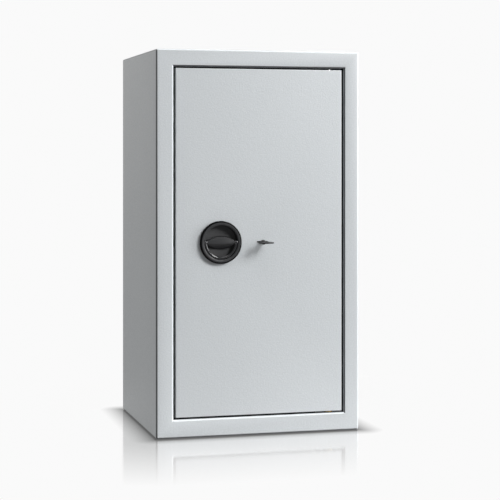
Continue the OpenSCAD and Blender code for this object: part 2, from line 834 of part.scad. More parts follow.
module handle_disc() {
    color("black") on_door(handle_x, handle_z) difference() {
        union() {
            difference() {
                union() {
                    translate([0, 0, disc_h0]) cylinder(r = handle_r, h = handle_proud - disc_edge_r - disc_h0);
                    translate([0, 0, disc_h0]) cylinder(r = handle_r - disc_edge_r, h = handle_proud - disc_h0);
                    rotate_extrude()
                        translate([handle_r - disc_edge_r, handle_proud - disc_edge_r]) circle(r = disc_edge_r);
                    translate([0, 0, -cup_sink - cup_floor])
                        cylinder(r = cup_r + cup_wall, h = cup_sink + cup_floor + handle_proud / 2);
                }
                translate([0, 0, -cup_sink]) cylinder(r = cup_r, h = cup_sink + handle_proud + over);
            }
            web();
        }
        for (s = [-1, 1])
            mirror([s < 0 ? 1 : 0, 0, 0]) translate([bail_pin_x0, 0, bail_pivot_h]) rotate([0, 90, 0])
                cylinder(r = bail_pin_r, h = bail_pin_x1 - bail_pin_x0);
    }
}

module bail_pins() {
    color("silver") on_door(handle_x, handle_z)
        for (s = [-1, 1])
            mirror([s < 0 ? 1 : 0, 0, 0]) translate([bail_pin_x0, 0, bail_pivot_h]) rotate([0, 90, 0])
                cylinder(r = bail_pin_r, h = bail_pin_x1 - bail_pin_x0);
}

// Half-ring grip with an ear at each end, folded down into the cup's lower half
module bail() {
    color("black") on_door(handle_x, handle_z) translate([0, 0, bail_pivot_h]) difference() {
        union() {
            rotate([0, 0, 180]) rotate_extrude(angle = 180) translate([bail_r, 0]) circle(r = bail_bar_r);
            for (s = [-1, 1])
                translate([s * bail_r - bail_bar_r, 0, 0]) rotate([0, 90, 0])
                    cylinder(r = bail_ear_r, h = 2 * bail_bar_r);
        }
        translate([-cup_r, 0, 0]) rotate([0, 90, 0]) cylinder(r = bail_pin_r + run_fit, h = 2 * cup_r);
    }
}

module spindle() {
    color("silver") difference() {
        rod_y(spindle_r, cup_back_y, spindle_end_y, handle_x, handle_z);
        difference() {
            rod_y(spindle_r + over, cover_y1 + 0.5, cover_y1 + 0.5 + circlip_t, handle_x, handle_z);
            rod_y(spindle_r - 0.8, cover_y1, cover_y1 + 2, handle_x, handle_z);
        }
    }
}

module spindle_circlip() {
    color("silver") plate_xz(cover_y1 + 0.5, cover_y1 + 0.5 + circlip_t) translate([handle_x, handle_z])
        difference() {
            circle(r = spindle_r + 2);
            circle(r = spindle_r - 0.8);
            translate([0, -spindle_r]) square([5, 2 * spindle_r], center = true);
        }
}

// Involute outline of the pinion: polar angle of the flank at radius r, and the points of one tooth
function flank_angle(r) = r <= base_r ? 0 : let(a = acos(base_r / r)) tan(a) * 180 / PI - a;
function tooth_half(r) =
    (90 / pinion_teeth) - (backlash / 2 / pitch_r) * 180 / PI / 2 + flank_angle(pitch_r) - flank_angle(r);
function tooth_points(k) = let(
        turn = k * 360 / pinion_teeth,
        root = pitch_r - tooth_down,
        radii = concat([root], [for (i = [0:5]) base_r + i * (pitch_r + tooth_up - base_r) / 5])
    )
    concat(
        [for (i = [0:6]) radii[i] * [cos(turn - tooth_half(radii[i])), sin(turn - tooth_half(radii[i]))]],
        [for (i = [0:6]) radii[6 - i] * [cos(turn + tooth_half(radii[6 - i])), sin(turn + tooth_half(radii[6 - i]))]]
    );

module pinion() {
    color("silver") difference() {
        plate_xz(pinion_y0, pinion_y1) translate([handle_x, handle_z])
            polygon([for (k = [0:pinion_teeth - 1]) each tooth_points(k)]);
        rod_y(spindle_r, pinion_y0 - over, pinion_y1 + over, handle_x, handle_z);
    }
}

// Rack teeth that point down (-y), numbered from the point of mesh at x = 0
module rack_teeth(first, last) {
    root = tooth_down + 0.2; // a little way into the bar
    half = tooth_pitch / 4 - backlash / 4;
    root_half = half + root * tan(pressure_angle);
    tip_half = half - tooth_up * tan(pressure_angle);
    for (i = [first:last])
        translate([(i + 0.5) * tooth_pitch, 0])
            polygon([[-root_half, root], [-tip_half, -tooth_up], [tip_half, -tooth_up], [root_half, root]]);
}

// Plate that carries the locking bolts: an upright bar, two slotted arms, and the rack arm, which runs
// on over the lock. Its two notches let the lock's bolt rise with the boltwork thrown or drawn.
module carriage_outline() {
    difference() {
        union() {
            translate([bar_x0, door_mid_z - bolt_spacing - bolt_r])
                square([bar_x1 - bar_x0, 2 * (bolt_spacing + bolt_r)]);
            for (z = stud_z)
                translate([bar_x0, z - arm_half]) square([stud_arm_x1 - bar_x0, 2 * arm_half]);
            translate([bar_x0, rack_back_z]) square([carriage_x1 - bar_x0, rack_arm_h]);
            translate([key_x - notch_half - 12, notch_z0])
                square([carriage_x1 - key_x + notch_half + 12, notch_arm_h]);
            translate([handle_x, handle_z + pitch_r])
                rack_teeth(-rack_teeth_each_way, travel_teeth + rack_teeth_each_way - 1);
        }
        for (z = stud_z) {
            translate([stud_x - stud_r - slide_fit, z - stud_r - slide_fit])
                square([bolt_throw + 2 * (stud_r + slide_fit), 2 * (stud_r + slide_fit)]);
        }
        translate([key_x - lock_half_x - air, rack_back_z - over])
            square([body_w, notch_z0 - rack_back_z + over]);
        for (x = [key_x, key_x + bolt_throw])
            translate([x - notch_half, notch_z0 - over]) square([2 * notch_half, lock_throw + over]);
    }
}

module bolt_carriage() {
    color("silver") plate_xz(carriage_y0, carriage_y1) carriage_outline();
}

module locking_bolts() {
    color("lightgray")
        for (k = [-1, 0, 1]) {
            rod_x(bolt_r, bolt_tip_x + 1.5, bar_x0, bolt_y, door_mid_z + k * bolt_spacing);
            translate([bolt_tip_x, bolt_y, door_mid_z + k * bolt_spacing]) rotate([0, 90, 0])
                cylinder(r1 = bolt_r - 1.5, r2 = bolt_r, h = 1.5);
        }
}

module upper_rod() {
    color("silver") plate_xz(rod_y0, rod_y1) {
        translate([upper_rod_x, handle_z - rack_reach])
            square([rod_w, door_z1 - rod_tip - handle_z + rack_reach]);
        translate([handle_x + pitch_r, handle_z]) rotate(-90)
            rack_teeth(-rack_teeth_each_way, travel_teeth + rack_teeth_each_way - 1);
    }
}

module lower_rod() {
    color("silver") plate_xz(rod_y0, rod_y1) {
        translate([lower_rod_x - rod_w, door_z0 + rod_tip])
            square([rod_w, handle_z + rack_reach - door_z0 - rod_tip]);
        translate([handle_x - pitch_r, handle_z]) rotate(90)
            rack_teeth(-rack_teeth_each_way, travel_teeth + rack_teeth_each_way - 1);
    }
}

// Bolt of the key lock: a frame round the key with a talon below and a nose above
module lock_bolt() {
    color("goldenrod") plate_xz(lock_bolt_y0, lock_bolt_y0 + lock_bolt_t) difference() {
        union() {
            translate([key_x - lock_bolt_half, key_z - sweep_r - lock_throw - lock_bolt_foot])
                square([2 * lock_bolt_half, 2 * sweep_r + lock_throw + lock_bolt_foot + lock_bolt_rim]);
            translate([key_x - lock_nose_half, key_z]) square([2 * lock_nose_half, lock_nose_z - key_z]);
        }
        translate([key_x - sweep_r, key_z - sweep_r - lock_throw]) square([2 * sweep_r, 2 * sweep_r + lock_throw]);
    }
}

// Double-bit key in its slot: shank, collar, two bits and a flat bow
module key() {
    bow_y = front_y - key_proud + key_bow_r;
    color("silver") {
        rod_y(key_shank_r, bow_y + key_bow_r - 2, key_tip_y, key_x, key_z);
        rod_y(key_shank_r + 1.2, front_y - 9, front_y - 2, key_x, key_z);
        translate([key_x, 0, key_z - key_t / 2]) linear_extrude(key_t) {
            difference() {
                union() {
                    translate([0, bow_y]) circle(r = key_bow_r);
                    translate([-4, bow_y]) square([8, key_bow_r + 2]);
                }
                translate([0, bow_y - 4]) circle(r = 4.5);
            }
            translate([-key_bit_r, bit_y0]) square([2 * key_bit_r, key_tip_y - bit_y0 - 2]);
        }
    }
}

body_shell();
back_panel();
inner_liner();
wall_filling();
stop_frame();
door_seal();
hinge_plate_upper();
hinge_plate_lower();
hinge_pin_upper();
hinge_pin_lower();
thrust_washer();
shelf_upper();
shelf_lower();
shelf_brackets();
door_plate();
door_case();
door_cover();
cover_screws();
hinge_block_upper();
hinge_block_lower();
hinge_bush_upper();
hinge_bush_lower();
hinge_side_dogs();
bolt_bushes();
rod_guides();
carriage_studs();
handle_rosette();
bearing_bridge();
spindle_bush();
hard_plate();
lock_case();
lock_cover();
lock_screws();
lever_pack();
lever_post();
lever_springs();
handle_disc();
bail_pins();
spindle();
pinion();
spindle_circlip();
bail();
bolt_carriage();
locking_bolts();
upper_rod();
lower_rod();
lock_bolt();
key();
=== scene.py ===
"""Looks of the cabinet safe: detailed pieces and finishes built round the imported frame.

Every place comes from the frame's own boxes. Lengths are metres, +Z is up and the door faces -Y.
"""

import json
import logging
import math
from collections.abc import Callable, Iterable, Sequence
from dataclasses import dataclass, field
from enum import Enum

import bmesh
import bpy
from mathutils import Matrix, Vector

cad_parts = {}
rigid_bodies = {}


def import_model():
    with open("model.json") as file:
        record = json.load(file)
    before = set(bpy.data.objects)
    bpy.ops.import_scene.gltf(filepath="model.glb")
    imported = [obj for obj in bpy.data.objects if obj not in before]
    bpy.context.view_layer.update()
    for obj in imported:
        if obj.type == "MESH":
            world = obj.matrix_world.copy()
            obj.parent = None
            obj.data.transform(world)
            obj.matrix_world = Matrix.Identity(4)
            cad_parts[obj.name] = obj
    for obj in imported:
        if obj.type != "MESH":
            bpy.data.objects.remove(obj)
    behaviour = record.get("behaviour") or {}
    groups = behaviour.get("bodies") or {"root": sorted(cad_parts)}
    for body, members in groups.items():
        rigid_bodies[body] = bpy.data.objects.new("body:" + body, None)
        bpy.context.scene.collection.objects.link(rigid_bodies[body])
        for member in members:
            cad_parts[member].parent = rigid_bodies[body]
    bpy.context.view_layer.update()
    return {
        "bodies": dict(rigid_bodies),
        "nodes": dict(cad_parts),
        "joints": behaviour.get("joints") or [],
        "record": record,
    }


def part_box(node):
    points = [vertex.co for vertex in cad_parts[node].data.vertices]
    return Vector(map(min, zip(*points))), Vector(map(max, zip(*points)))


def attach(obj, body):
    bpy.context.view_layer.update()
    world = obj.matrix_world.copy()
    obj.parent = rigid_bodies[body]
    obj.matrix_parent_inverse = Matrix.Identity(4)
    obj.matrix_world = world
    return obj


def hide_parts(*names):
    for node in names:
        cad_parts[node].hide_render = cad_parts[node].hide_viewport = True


log = logging.getLogger("cabinet_safe")

MM = 0.001
NEAR = 1e-5

Point = tuple[float, float, float]
Colour = tuple[float, float, float]
Piece = bpy.types.Object
Socket = bpy.types.NodeSocket
Inputs = dict[int | str, object]
Test = Callable[[Vector], bool]


class Axis(Enum):
    """Direction of a round piece's axis, with the turn that brings +Z onto it."""

    X = (0.0, math.pi / 2, 0.0)
    Y = (-math.pi / 2, 0.0, 0.0)
    Z = (0.0, 0.0, 0.0)


class Cut(Enum):
    """How a boolean modifier combines two solids."""

    REMOVE = "DIFFERENCE"
    JOIN = "UNION"


# --------------------------------------------------------------------------- bench tools


def clear_selection() -> None:
    """Leaves edit mode and deselects every object."""
    if bpy.context.object and bpy.context.object.mode != "OBJECT":
        bpy.ops.object.mode_set(mode="OBJECT")
    bpy.ops.object.select_all(action="DESELECT")


def activate(piece: Piece) -> None:
    """Makes a piece the only selected and active object.

    Args:
        piece: The piece that changes.
    """
    clear_selection()
    piece.select_set(True)
    bpy.context.view_layer.objects.active = piece


def settle(piece: Piece) -> None:
    """Moves a piece's place into its mesh, so that its object sits at the origin."""
    activate(piece)
    bpy.ops.object.transform_apply(location=True, rotation=True, scale=True)


def add_block(name: str, low: Sequence[float], high: Sequence[float]) -> Piece:
    """Adds a block between two corners.

    Args:
        name: The new object's name.
        low: Lowest corner.
        high: Highest corner.

    Returns:
        The block, with its place in its mesh.
    """
    clear_selection()
    low, high = Vector(low), Vector(high)
    bpy.ops.mesh.primitive_cube_add(size=1.0, location=(low + high) / 2)
    block = bpy.context.object
    block.name = block.data.name = name
    block.scale = high - low
    settle(block)
    return block


def add_round(
    name: str, axis: Axis, radius: float, start: Sequence[float], length: float, sides: int = 64
) -> Piece:
    """Adds a cylinder that runs from a start point along a positive axis.

    Args:
        name: The new object's name.
        axis: Direction of the cylinder.
        radius: Its radius.
        start: Centre of its first end.
        length: Its length.
        sides: Number of its sides.

    Returns:
        The cylinder, with its place in its mesh.
    """
    clear_selection()
    along = {Axis.X: Vector((1, 0, 0)), Axis.Y: Vector((0, 1, 0)), Axis.Z: Vector((0, 0, 1))}[axis]
    bpy.ops.mesh.primitive_cylinder_add(
        vertices=sides, radius=radius, depth=length,
        location=Vector(start) + along * length / 2, rotation=axis.value,
    )
    bar = bpy.context.object
    bar.name = bar.data.name = name
    settle(bar)
    return bar


class Editing:
    """Edit mode on one piece, with selection by place or normal."""

    def __init__(self, piece: Piece) -> None:
        """Keeps the piece to edit."""
        self.piece = piece

    def __enter__(self) -> "Editing":
        """Enters edit mode with nothing selected.

        Returns:
            This object, for the with statement.
        """
        activate(self.piece)
        bpy.ops.object.mode_set(mode="EDIT")
        bpy.ops.mesh.select_all(action="DESELECT")
        return self

    def __exit__(self, *_: object) -> None:
        """Goes back to object mode."""
        bpy.ops.object.mode_set(mode="OBJECT")

    def choose(self, kind: str, test: Callable[[object], bool]) -> int:
        """Selects the elements of one kind that pass a test, and returns how many do.

        Args:
            kind: VERT, EDGE or FACE.
            test: Tells whether an element counts.

        Returns:
            How many were selected.
        """
        bpy.ops.mesh.select_mode(type=kind)
        bpy.ops.mesh.select_all(action="DESELECT")
        mesh = bmesh.from_edit_mesh(self.piece.data)
        chosen = {"VERT": mesh.verts, "EDGE": mesh.edges, "FACE": mesh.faces}[kind]
        count = 0
        for element in chosen:
            if test(element):
                element.select_set(True)
                count += 1
        mesh.select_flush_mode()
        bmesh.update_edit_mesh(self.piece.data)
        return count

    def points(self, test: Test) -> int:
        """Selects the vertices whose place passes a test."""
        return self.choose("VERT", lambda v: test(v.co))

    def edges(self, test: Test) -> int:
        """Selects the edges whose two ends both pass a test."""
        return self.choose("EDGE", lambda e: all(test(v.co) for v in e.verts))

    def edges_along(self, direction: Sequence[float], test: Test) -> int:
        """Selects the edges that run along a direction and whose middle passes a test.

        Args:
            direction: The way of the edges, either sense.
            test: Tells whether a place counts.

        Returns:
            How many were selected.
        """
        way = Vector(direction).normalized()

        def fits(edge: bmesh.types.BMEdge) -> bool:
            """Tells whether one edge runs the right way in the right place.

            Args:
                edge: The edge.

            Returns:
                Whether it does.
            """
            run = edge.verts[1].co - edge.verts[0].co
            middle = (edge.verts[1].co + edge.verts[0].co) / 2
            return abs(run.normalized().dot(way)) > 0.999 and test(middle)

        return self.choose("EDGE", fits)

    def faces(self, normal: Sequence[float], test: Test) -> int:
        """Selects the faces that look one way and whose middle passes a test."""
        way = Vector(normal).normalized()
        return self.choose("FACE", lambda f: f.normal.dot(way) > 0.9 and test(f.calc_center_median()))

    @staticmethod
    def everything() -> None:
        """Selects the whole mesh."""
        bpy.ops.mesh.select_all(action="SELECT")

    @staticmethod
    def push(x: float = 0.0, y: float = 0.0, z: float = 0.0) -> None:
        """Extrudes the selection by an offset."""
        bpy.ops.mesh.extrude_region_move(TRANSFORM_OT_translate={"value": (x, y, z)})

    @staticmethod
    def move(x: float = 0.0, y: float = 0.0, z: float = 0.0) -> None:
        """Moves the selection by an offset."""
        bpy.ops.transform.translate(value=(x, y, z))

    @staticmethod
    def bevel(width: float, segments: int = 4) -> None:
        """Rounds the selected edges."""
        bpy.ops.mesh.bevel(offset=width, offset_type="OFFSET", segments=segments, profile=0.5, affect="EDGES")

    def split(self, place: Sequence[float], normal: Sequence[float]) -> None:
        """Adds edges where a plane crosses the mesh."""
        self.everything()
        bpy.ops.mesh.bisect(plane_co=place, plane_no=normal)


def combine(piece: Piece, tools: Iterable[Piece], how: Cut) -> None:
    """Cuts tools out of a piece, or joins them to it, and removes the tools.

    Args:
        piece: The piece that changes.
        tools: The solids to cut out or to join.
        how: Whether they are removed or joined.
    """
    for tool in tools:
        activate(piece)
        change = piece.modifiers.new("combine", "BOOLEAN")
        change.operation = how.value
        change.solver = "EXACT"
        change.object = tool
        bpy.ops.object.modifier_apply(modifier=change.name)
        bpy.data.objects.remove(tool)


def soften(piece: Piece, width: float, segments: int = 3, angle: float = 35.0) -> None:
    """Bevels a piece's sharp edges with a modifier and applies it.

    Args:
        piece: The piece that changes.
        width: Width of the bevel.
        segments: Steps across each round.
        angle: Least turn at an edge that counts as sharp, in degrees.
    """
    activate(piece)
    change = piece.modifiers.new("soften", "BEVEL")
    change.width = width
    change.segments = segments
    change.limit_method = "ANGLE"
    change.angle_limit = math.radians(angle)
    change.harden_normals = False
    bpy.ops.object.modifier_apply(modifier=change.name)


def thicken(piece: Piece, thickness: float, offset: float = -1.0) -> None:
    """Gives an open sheet its thickness with a modifier and applies it.

    Args:
        piece: The piece that changes.
        thickness: The sheet's thickness.
        offset: -1 to thicken inwards, 1 outwards.
    """
    activate(piece)
    change = piece.modifiers.new("thicken", "SOLIDIFY")
    change.thickness = thickness
    change.offset = offset
    change.use_even_offset = True
    bpy.ops.object.modifier_apply(modifier=change.name)


def shade(piece: Piece, angle: float = 30.0) -> None:
    """Shades a piece smooth where its faces meet at less than an angle, in degrees."""
    activate(piece)
    bpy.ops.object.shade_smooth_by_angle(angle=math.radians(angle))


def copy_of(piece: Piece, offset: Sequence[float]) -> Piece:
    """Copies a piece, with a mesh of its own, to another place.

    Args:
        piece: The piece to copy.
        offset: Where the copy goes.

    Returns:
        The copy, with its place in its mesh.
    """
    twin = piece.copy()
    twin.data = piece.data.copy()
    bpy.context.scene.collection.objects.link(twin)
    twin.location = offset
    settle(twin)
    return twin


def join(name: str, pieces: Sequence[Piece]) -> Piece:
    """Joins several objects into the first and names it.

    Args:
        name: The new name.
        pieces: The pieces; the first one stays.

    Returns:
        The joined piece.
    """
    clear_selection()
    for piece in pieces:
        piece.select_set(True)
    bpy.context.view_layer.objects.active = pieces[0]
    if len(pieces) > 1:
        bpy.ops.object.join()
    pieces[0].name = pieces[0].data.name = name
    return pieces[0]


def draw_chain(name: str, chain: Sequence[Point]) -> Piece:
    """Draws an open chain of edges by extruding one vertex from point to point.

    Args:
        name: The new object's name.
        chain: The points, in order.

    Returns:
        The chain's object.
    """
    clear_selection()
    bpy.ops.mesh.primitive_plane_add(size=1.0, location=(0, 0, 0))
    drawn = bpy.context.object
    drawn.name = drawn.data.name = name
    bpy.ops.object.mode_set(mode="EDIT")
    bpy.ops.mesh.select_all(action="SELECT")
    bpy.ops.mesh.merge(type="CENTER")
    bpy.ops.mesh.select_mode(type="VERT")
    bpy.ops.mesh.select_all(action="SELECT")
    bpy.ops.transform.translate(value=chain[0])
    for here, there in zip(chain, chain[1:]):
        step = Vector(there) - Vector(here)
        bpy.ops.mesh.extrude_region_move(TRANSFORM_OT_translate={"value": step})
    bpy.ops.object.mode_set(mode="OBJECT")
    return drawn


def lathe(
    name: str, profile: Sequence[tuple[float, float]], centre: Sequence[float], axis: Axis, steps: int = 96
) -> Piece:
    """Turns a profile about an axis into a closed round solid.

    Args:
        name: The new object's name.
        profile: (radius, distance along the axis) pairs, starting and ending on the axis or closed.
        centre: The point from which the distances count.
        axis: The axis of the turned piece, along Y or X.
        steps: Number of steps in the full turn.

    Returns:
        The turned piece.
    """
    middle = Vector(centre)
    along = Vector((0, 1, 0)) if axis is Axis.Y else Vector((1, 0, 0))
    out = Vector((0, 0, 1))
    turned = draw_chain(name, [tuple(middle + out * r + along * h) for r, h in profile])
    with Editing(turned) as edit:
        edit.everything()
        bpy.ops.mesh.spin(steps=steps, angle=2 * math.pi, center=middle, axis=along)
        edit.everything()
        bpy.ops.mesh.remove_doubles(threshold=1e-6)
        edit.everything()
        bpy.ops.mesh.normals_make_consistent(inside=False)
    return turned


def extruded_outline(name: str, outline: Sequence[Point], depth: Sequence[float]) -> Piece:
    """Makes a solid from a closed flat outline.

    Args:
        name: The new object's name.
        outline: The corners, in order, without repeating the first.
        depth: The offset by which the face is extruded.

    Returns:
        The solid, with its faces outwards.
    """
    solid = draw_chain(name, outline)
    with Editing(solid) as edit:
        edit.everything()
        bpy.ops.mesh.edge_face_add()
        edit.everything()
        edit.push(*depth)
        edit.everything()
        bpy.ops.mesh.normals_make_consistent(inside=False)
    return solid


def spread(low: float, high: float, count: int) -> list[float]:
    """Evenly spaced values between two ends, which are the first and the last of them."""
    return [low + (high - low) * step / (count - 1) for step in range(count)]


# --------------------------------------------------------------------------- finishes


class Wiring:
    """A node tree of a material or a world, with short calls that add and link its nodes."""

    def __init__(self, owner: bpy.types.Material | bpy.types.World, output: str) -> None:
        """Empties the owner's tree and gives it an output.

        Args:
            owner: The material or the world.
            output: The output node's type.
        """
        owner.use_nodes = True
        self.tree = owner.node_tree
        self.tree.nodes.clear()
        self.output = self.add(output)

    def put(self, target: Socket, value: object) -> None:
        """Links an input to another node's output, or sets it to a plain value.

        Args:
            target: The input.
            value: A plain value or another node's output.
        """
        if isinstance(value, Socket):
            self.tree.links.new(value, target)
        else:
            target.default_value = value

    def add(self, kind: str, inputs: Inputs | None = None) -> bpy.types.Node:
        """Adds a node and fills its inputs.

        Args:
            kind: The node's type.
            inputs: Plain values or other nodes' outputs, by the input's name or number.

        Returns:
            The node.
        """
        node = self.tree.nodes.new(kind)
        for key, value in (inputs or {}).items():
            self.put(node.inputs[key], value)
        return node

    def sums(self, how: str, first: Socket | float, second: Socket | float = 0.0) -> Socket:
        """Combines two values with one arithmetic operation.

        Args:
            how: The operation's name.
            first: The first value.
            second: The second value, unused where the operation takes one.

        Returns:
            The result.
        """
        node = self.add("ShaderNodeMath", {0: first, 1: second})
        node.operation = how
        return node.outputs[0]

    def remap(self, value: Socket, low: float, high: float, to_low: float = 0.0, to_high: float = 1.0,
              curve: str = "LINEAR") -> Socket:
        """Maps a value from one range to another, with its ends held.

        Args:
            value: The value to map.
            low: Start of the range it comes from.
            high: End of the range it comes from.
            to_low: What the start becomes.
            to_high: What the end becomes.
            curve: LINEAR or SMOOTHSTEP.

        Returns:
            The mapped value.
        """
        node = self.add("ShaderNodeMapRange", {"Value": value, "From Min": low, "From Max": high,
                                               "To Min": to_low, "To Max": to_high})
        node.interpolation_type = curve
        return node.outputs["Result"]

    def show(self, share: Socket, under: bpy.types.Node, top: bpy.types.Node) -> None:
        """Sends two mixed shaders to the output."""
        mix = self.add("ShaderNodeMixShader", {0: share, 1: under.outputs[0], 2: top.outputs[0]})
        self.put(self.output.inputs["Surface"], mix.outputs[0])


class Graph(Wiring):
    """A material's node tree, with short calls for the nodes that the finishes share."""

    def __init__(self, name: str) -> None:
        """Makes a material with its shader and its coordinates.

        Args:
            name: The new name.
        """
        self.material = bpy.data.materials.new(name)
        super().__init__(self.material, "ShaderNodeOutputMaterial")
        self.shader = self.add("ShaderNodeBsdfPrincipled")
        self.put(self.output.inputs["Surface"], self.shader.outputs["BSDF"])
        self.place = self.add("ShaderNodeTexCoord").outputs["Object"]

    def stretched(self, scale: Point) -> Socket:
        """Object coordinates scaled unevenly, for brushed or rolled grain."""
        return self.add("ShaderNodeMapping", {"Scale": scale, "Vector": self.place}).outputs["Vector"]

    def noise(self, scale: float, detail: float = 2.0, rough: float = 0.5,
              vector: Socket | None = None) -> Socket:
        """Noise in 0..1 over the piece.

        Args:
            scale: Cells a metre.
            detail: Octaves.
            rough: Weight of the finer octaves.
            vector: Coordinates, or none for the piece's own.

        Returns:
            The noise's value.
        """
        return self.add("ShaderNodeTexNoise", {
            "Scale": scale, "Detail": detail, "Roughness": rough, "Vector": vector or self.place,
        }).outputs["Fac"]

    def cells(self, scale: float) -> Socket:
        """Distance to the nearest point of a random field, for pores.

        Args:
            scale: Cells a metre.

        Returns:
            The distance.
        """
        node = self.add("ShaderNodeTexVoronoi")
        node.feature = "SMOOTH_F1"
        for key, value in (("Scale", scale), ("Smoothness", 0.6), ("Vector", self.place)):
            self.put(node.inputs[key], value)
        return node.outputs["Distance"]

    def blend(self, share: Socket, under: Socket | Colour, top: Colour) -> Socket:
        """Lays a plain colour over another one, plain or varied.

        Args:
            share: Share of the top colour, in 0..1.
            under: The colour below.
            top: The plain colour on top.

        Returns:
            The mixed colour.
        """
        node = self.add("ShaderNodeMix")
        node.data_type = "RGBA"
        base = under if isinstance(under, Socket) else (*under, 1.0)
        for key, value in ((0, share), (6, base), (7, (*top, 1.0))):
            self.put(node.inputs[key], value)
        return node.outputs[2]

    def edges(self, radius: float) -> Socket:
        """How close a point is to a sharp edge.

        Args:
            radius: How far an edge reaches.

        Returns:
            From 0 on the flat to 1 on the edge.
        """
        bevel = self.add("ShaderNodeBevel", {"Radius": radius})
        bevel.samples = 4
        facing = self.add("ShaderNodeNewGeometry").outputs["Normal"]
        dot = self.add("ShaderNodeVectorMath")
        dot.operation = "DOT_PRODUCT"
        self.put(dot.inputs[0], bevel.outputs["Normal"])
        self.put(dot.inputs[1], facing)
        return self.remap(dot.outputs["Value"], 0.99, 0.75)

    def folds(self) -> tuple[Socket, Socket]:
        """Finds the rounded folds between the piece's flat faces, by where the surface faces, for painting
        highlight and shade on them.

        Returns:
            Two values from 0 to 1: for folds that lean right or up, which get painted highlight, and for
                those that lean left or down, which get painted shade.
        """
        turn = self.add("ShaderNodeVectorTransform")
        turn.vector_type, turn.convert_from, turn.convert_to = "NORMAL", "WORLD", "OBJECT"
        self.put(turn.inputs[0], self.add("ShaderNodeNewGeometry").outputs["Normal"])
        faces = self.add("ShaderNodeSeparateXYZ", {0: turn.outputs[0]}).outputs
        across, along, up = (self.sums("ABSOLUTE", faces[axis]) for axis in "XYZ")
        steepest = self.sums("MAXIMUM", self.sums("MAXIMUM", across, along), up)
        fold = self.remap(steepest, 0.995, 0.90)
        lean = self.sums("ADD", faces["X"], faces["Z"])
        return (self.sums("MULTIPLY", fold, self.remap(lean, 0.05, 0.5)),
                self.sums("MULTIPLY", fold, self.remap(lean, -0.05, -0.5)))

    def relief(self, height: Socket, depth: float, strength: float, below: Socket | None = None) -> Socket:
        """Bumps the surface by a height.

        Args:
            height: Height in 0..1.
            depth: What a height of 1 measures, in metres.
            strength: Share of the bump that shows.
            below: A coarser bump that this one lies on.

        Returns:
            The bumped normal.
        """
        node = self.add("ShaderNodeBump", {"Strength": strength, "Distance": depth, "Height": height})
        if below is not None:
            self.put(node.inputs["Normal"], below)
        return node.outputs["Normal"]

    def set(self, socket: str, value: object) -> None:
        """Sets or links one socket of the shader."""
        self.put(self.shader.inputs[socket], value)


@dataclass(frozen=True)
class TexturedPowderCoat:
    """Baked powder coat with a fine orange-peel texture, painted highlight on folds that lean right or up and
    painted shade on folds that lean left or down.
    """

    name: str
    colour: Colour
    shadow: Colour
    grain: float = 420.0
    depth: float = 0.00042
    swell_grain: float = 190.0
    swell_depth: float = 0.0002
    gloss: float = 0.42
    # Painted light on the folds: the share that shows, how much the highlight colour is lifted and how far
    # the shade colour is darkened.
    painted_fold_light_share: float = 0.92
    painted_highlight_gain: float = 1.38
    painted_shade_gain: float = 0.10

    def build(self) -> bpy.types.Material:
        """Builds the finish: soft blotches, pebbled relief, duller hollows, rubbed edges, and painted
        highlight and shade on the folds.

        Returns:
            The finish's material.
        """
        g = Graph(self.name)
        pebbles = g.noise(self.grain, 3.0, 0.55)
        fine = g.noise(self.grain * 3.1, 2.0, 0.5)
        clouds = g.noise(5.0, 3.0, 0.5)
        tone = g.sums("ADD", g.sums("MULTIPLY", g.remap(pebbles, 0.3, 0.7), 0.62),
                      g.sums("MULTIPLY", clouds, 0.38))
        rub = g.sums("MULTIPLY", g.edges(0.0012), g.remap(g.noise(34.0, 4.0, 0.6), 0.5, 0.72, 0.0, 0.35))
        # bright is the painted highlight colour of the folds, also used for the rubbed edges; dark is the
        # painted shade colour of the folds.
        bright = tuple(min(1.0, c * self.painted_highlight_gain) for c in self.colour)
        dark = tuple(c * self.painted_shade_gain for c in self.colour)
        # raised is the painted highlight on folds that lean right or up; the second mask is painted shade on
        # folds that lean left or down.
        raised, painted_fold_shade = (g.sums("MULTIPLY", mask, self.painted_fold_light_share) for mask in g.folds())
        colour = g.blend(painted_fold_shade, g.blend(tone, self.shadow, self.colour), dark)
        # Rubbed edges (wear) and the painted fold highlight both take the lighter colour.
        g.set("Base Color", g.blend(g.sums("MAXIMUM", rub, raised), colour, bright))
        g.set("Roughness", g.remap(g.sums("ADD", pebbles, fine), 0.7, 1.3,
                                   self.gloss + 0.1, self.gloss - 0.06))
        swell = g.relief(g.noise(self.swell_grain, 2.0, 0.45), self.swell_depth, 0.8)
        g.set("Normal", g.relief(fine, self.depth * 0.25, 0.5, g.relief(pebbles, self.depth, 0.75, swell)))
        g.set("Specular IOR Level", 0.42)
        return g.material


@dataclass(frozen=True)
class SatinPaint:
    """Smooth inside paint with faint roller clouds and worn edges."""

    name: str
    colour: Colour

    def build(self) -> bpy.types.Material:
        """Builds the finish.

        Returns:
            The finish's material.
        """
        g = Graph(self.name)
        clouds = g.noise(9.0, 4.0, 0.55)
        peel = g.noise(900.0, 2.0, 0.5)
        dark = tuple(c * 0.9 for c in self.colour)
        wear = g.sums("MULTIPLY", g.edges(0.0008), g.remap(g.noise(60.0, 3.0, 0.6), 0.45, 0.7, 0.0, 0.7))
        g.set("Base Color", g.blend(wear, g.blend(clouds, dark, self.colour), (0.42, 0.42, 0.43)))
        g.set("Roughness", g.remap(clouds, 0.3, 0.7, 0.38, 0.5))
        g.set("Normal", g.relief(peel, 0.00008, 0.4))
        return g.material


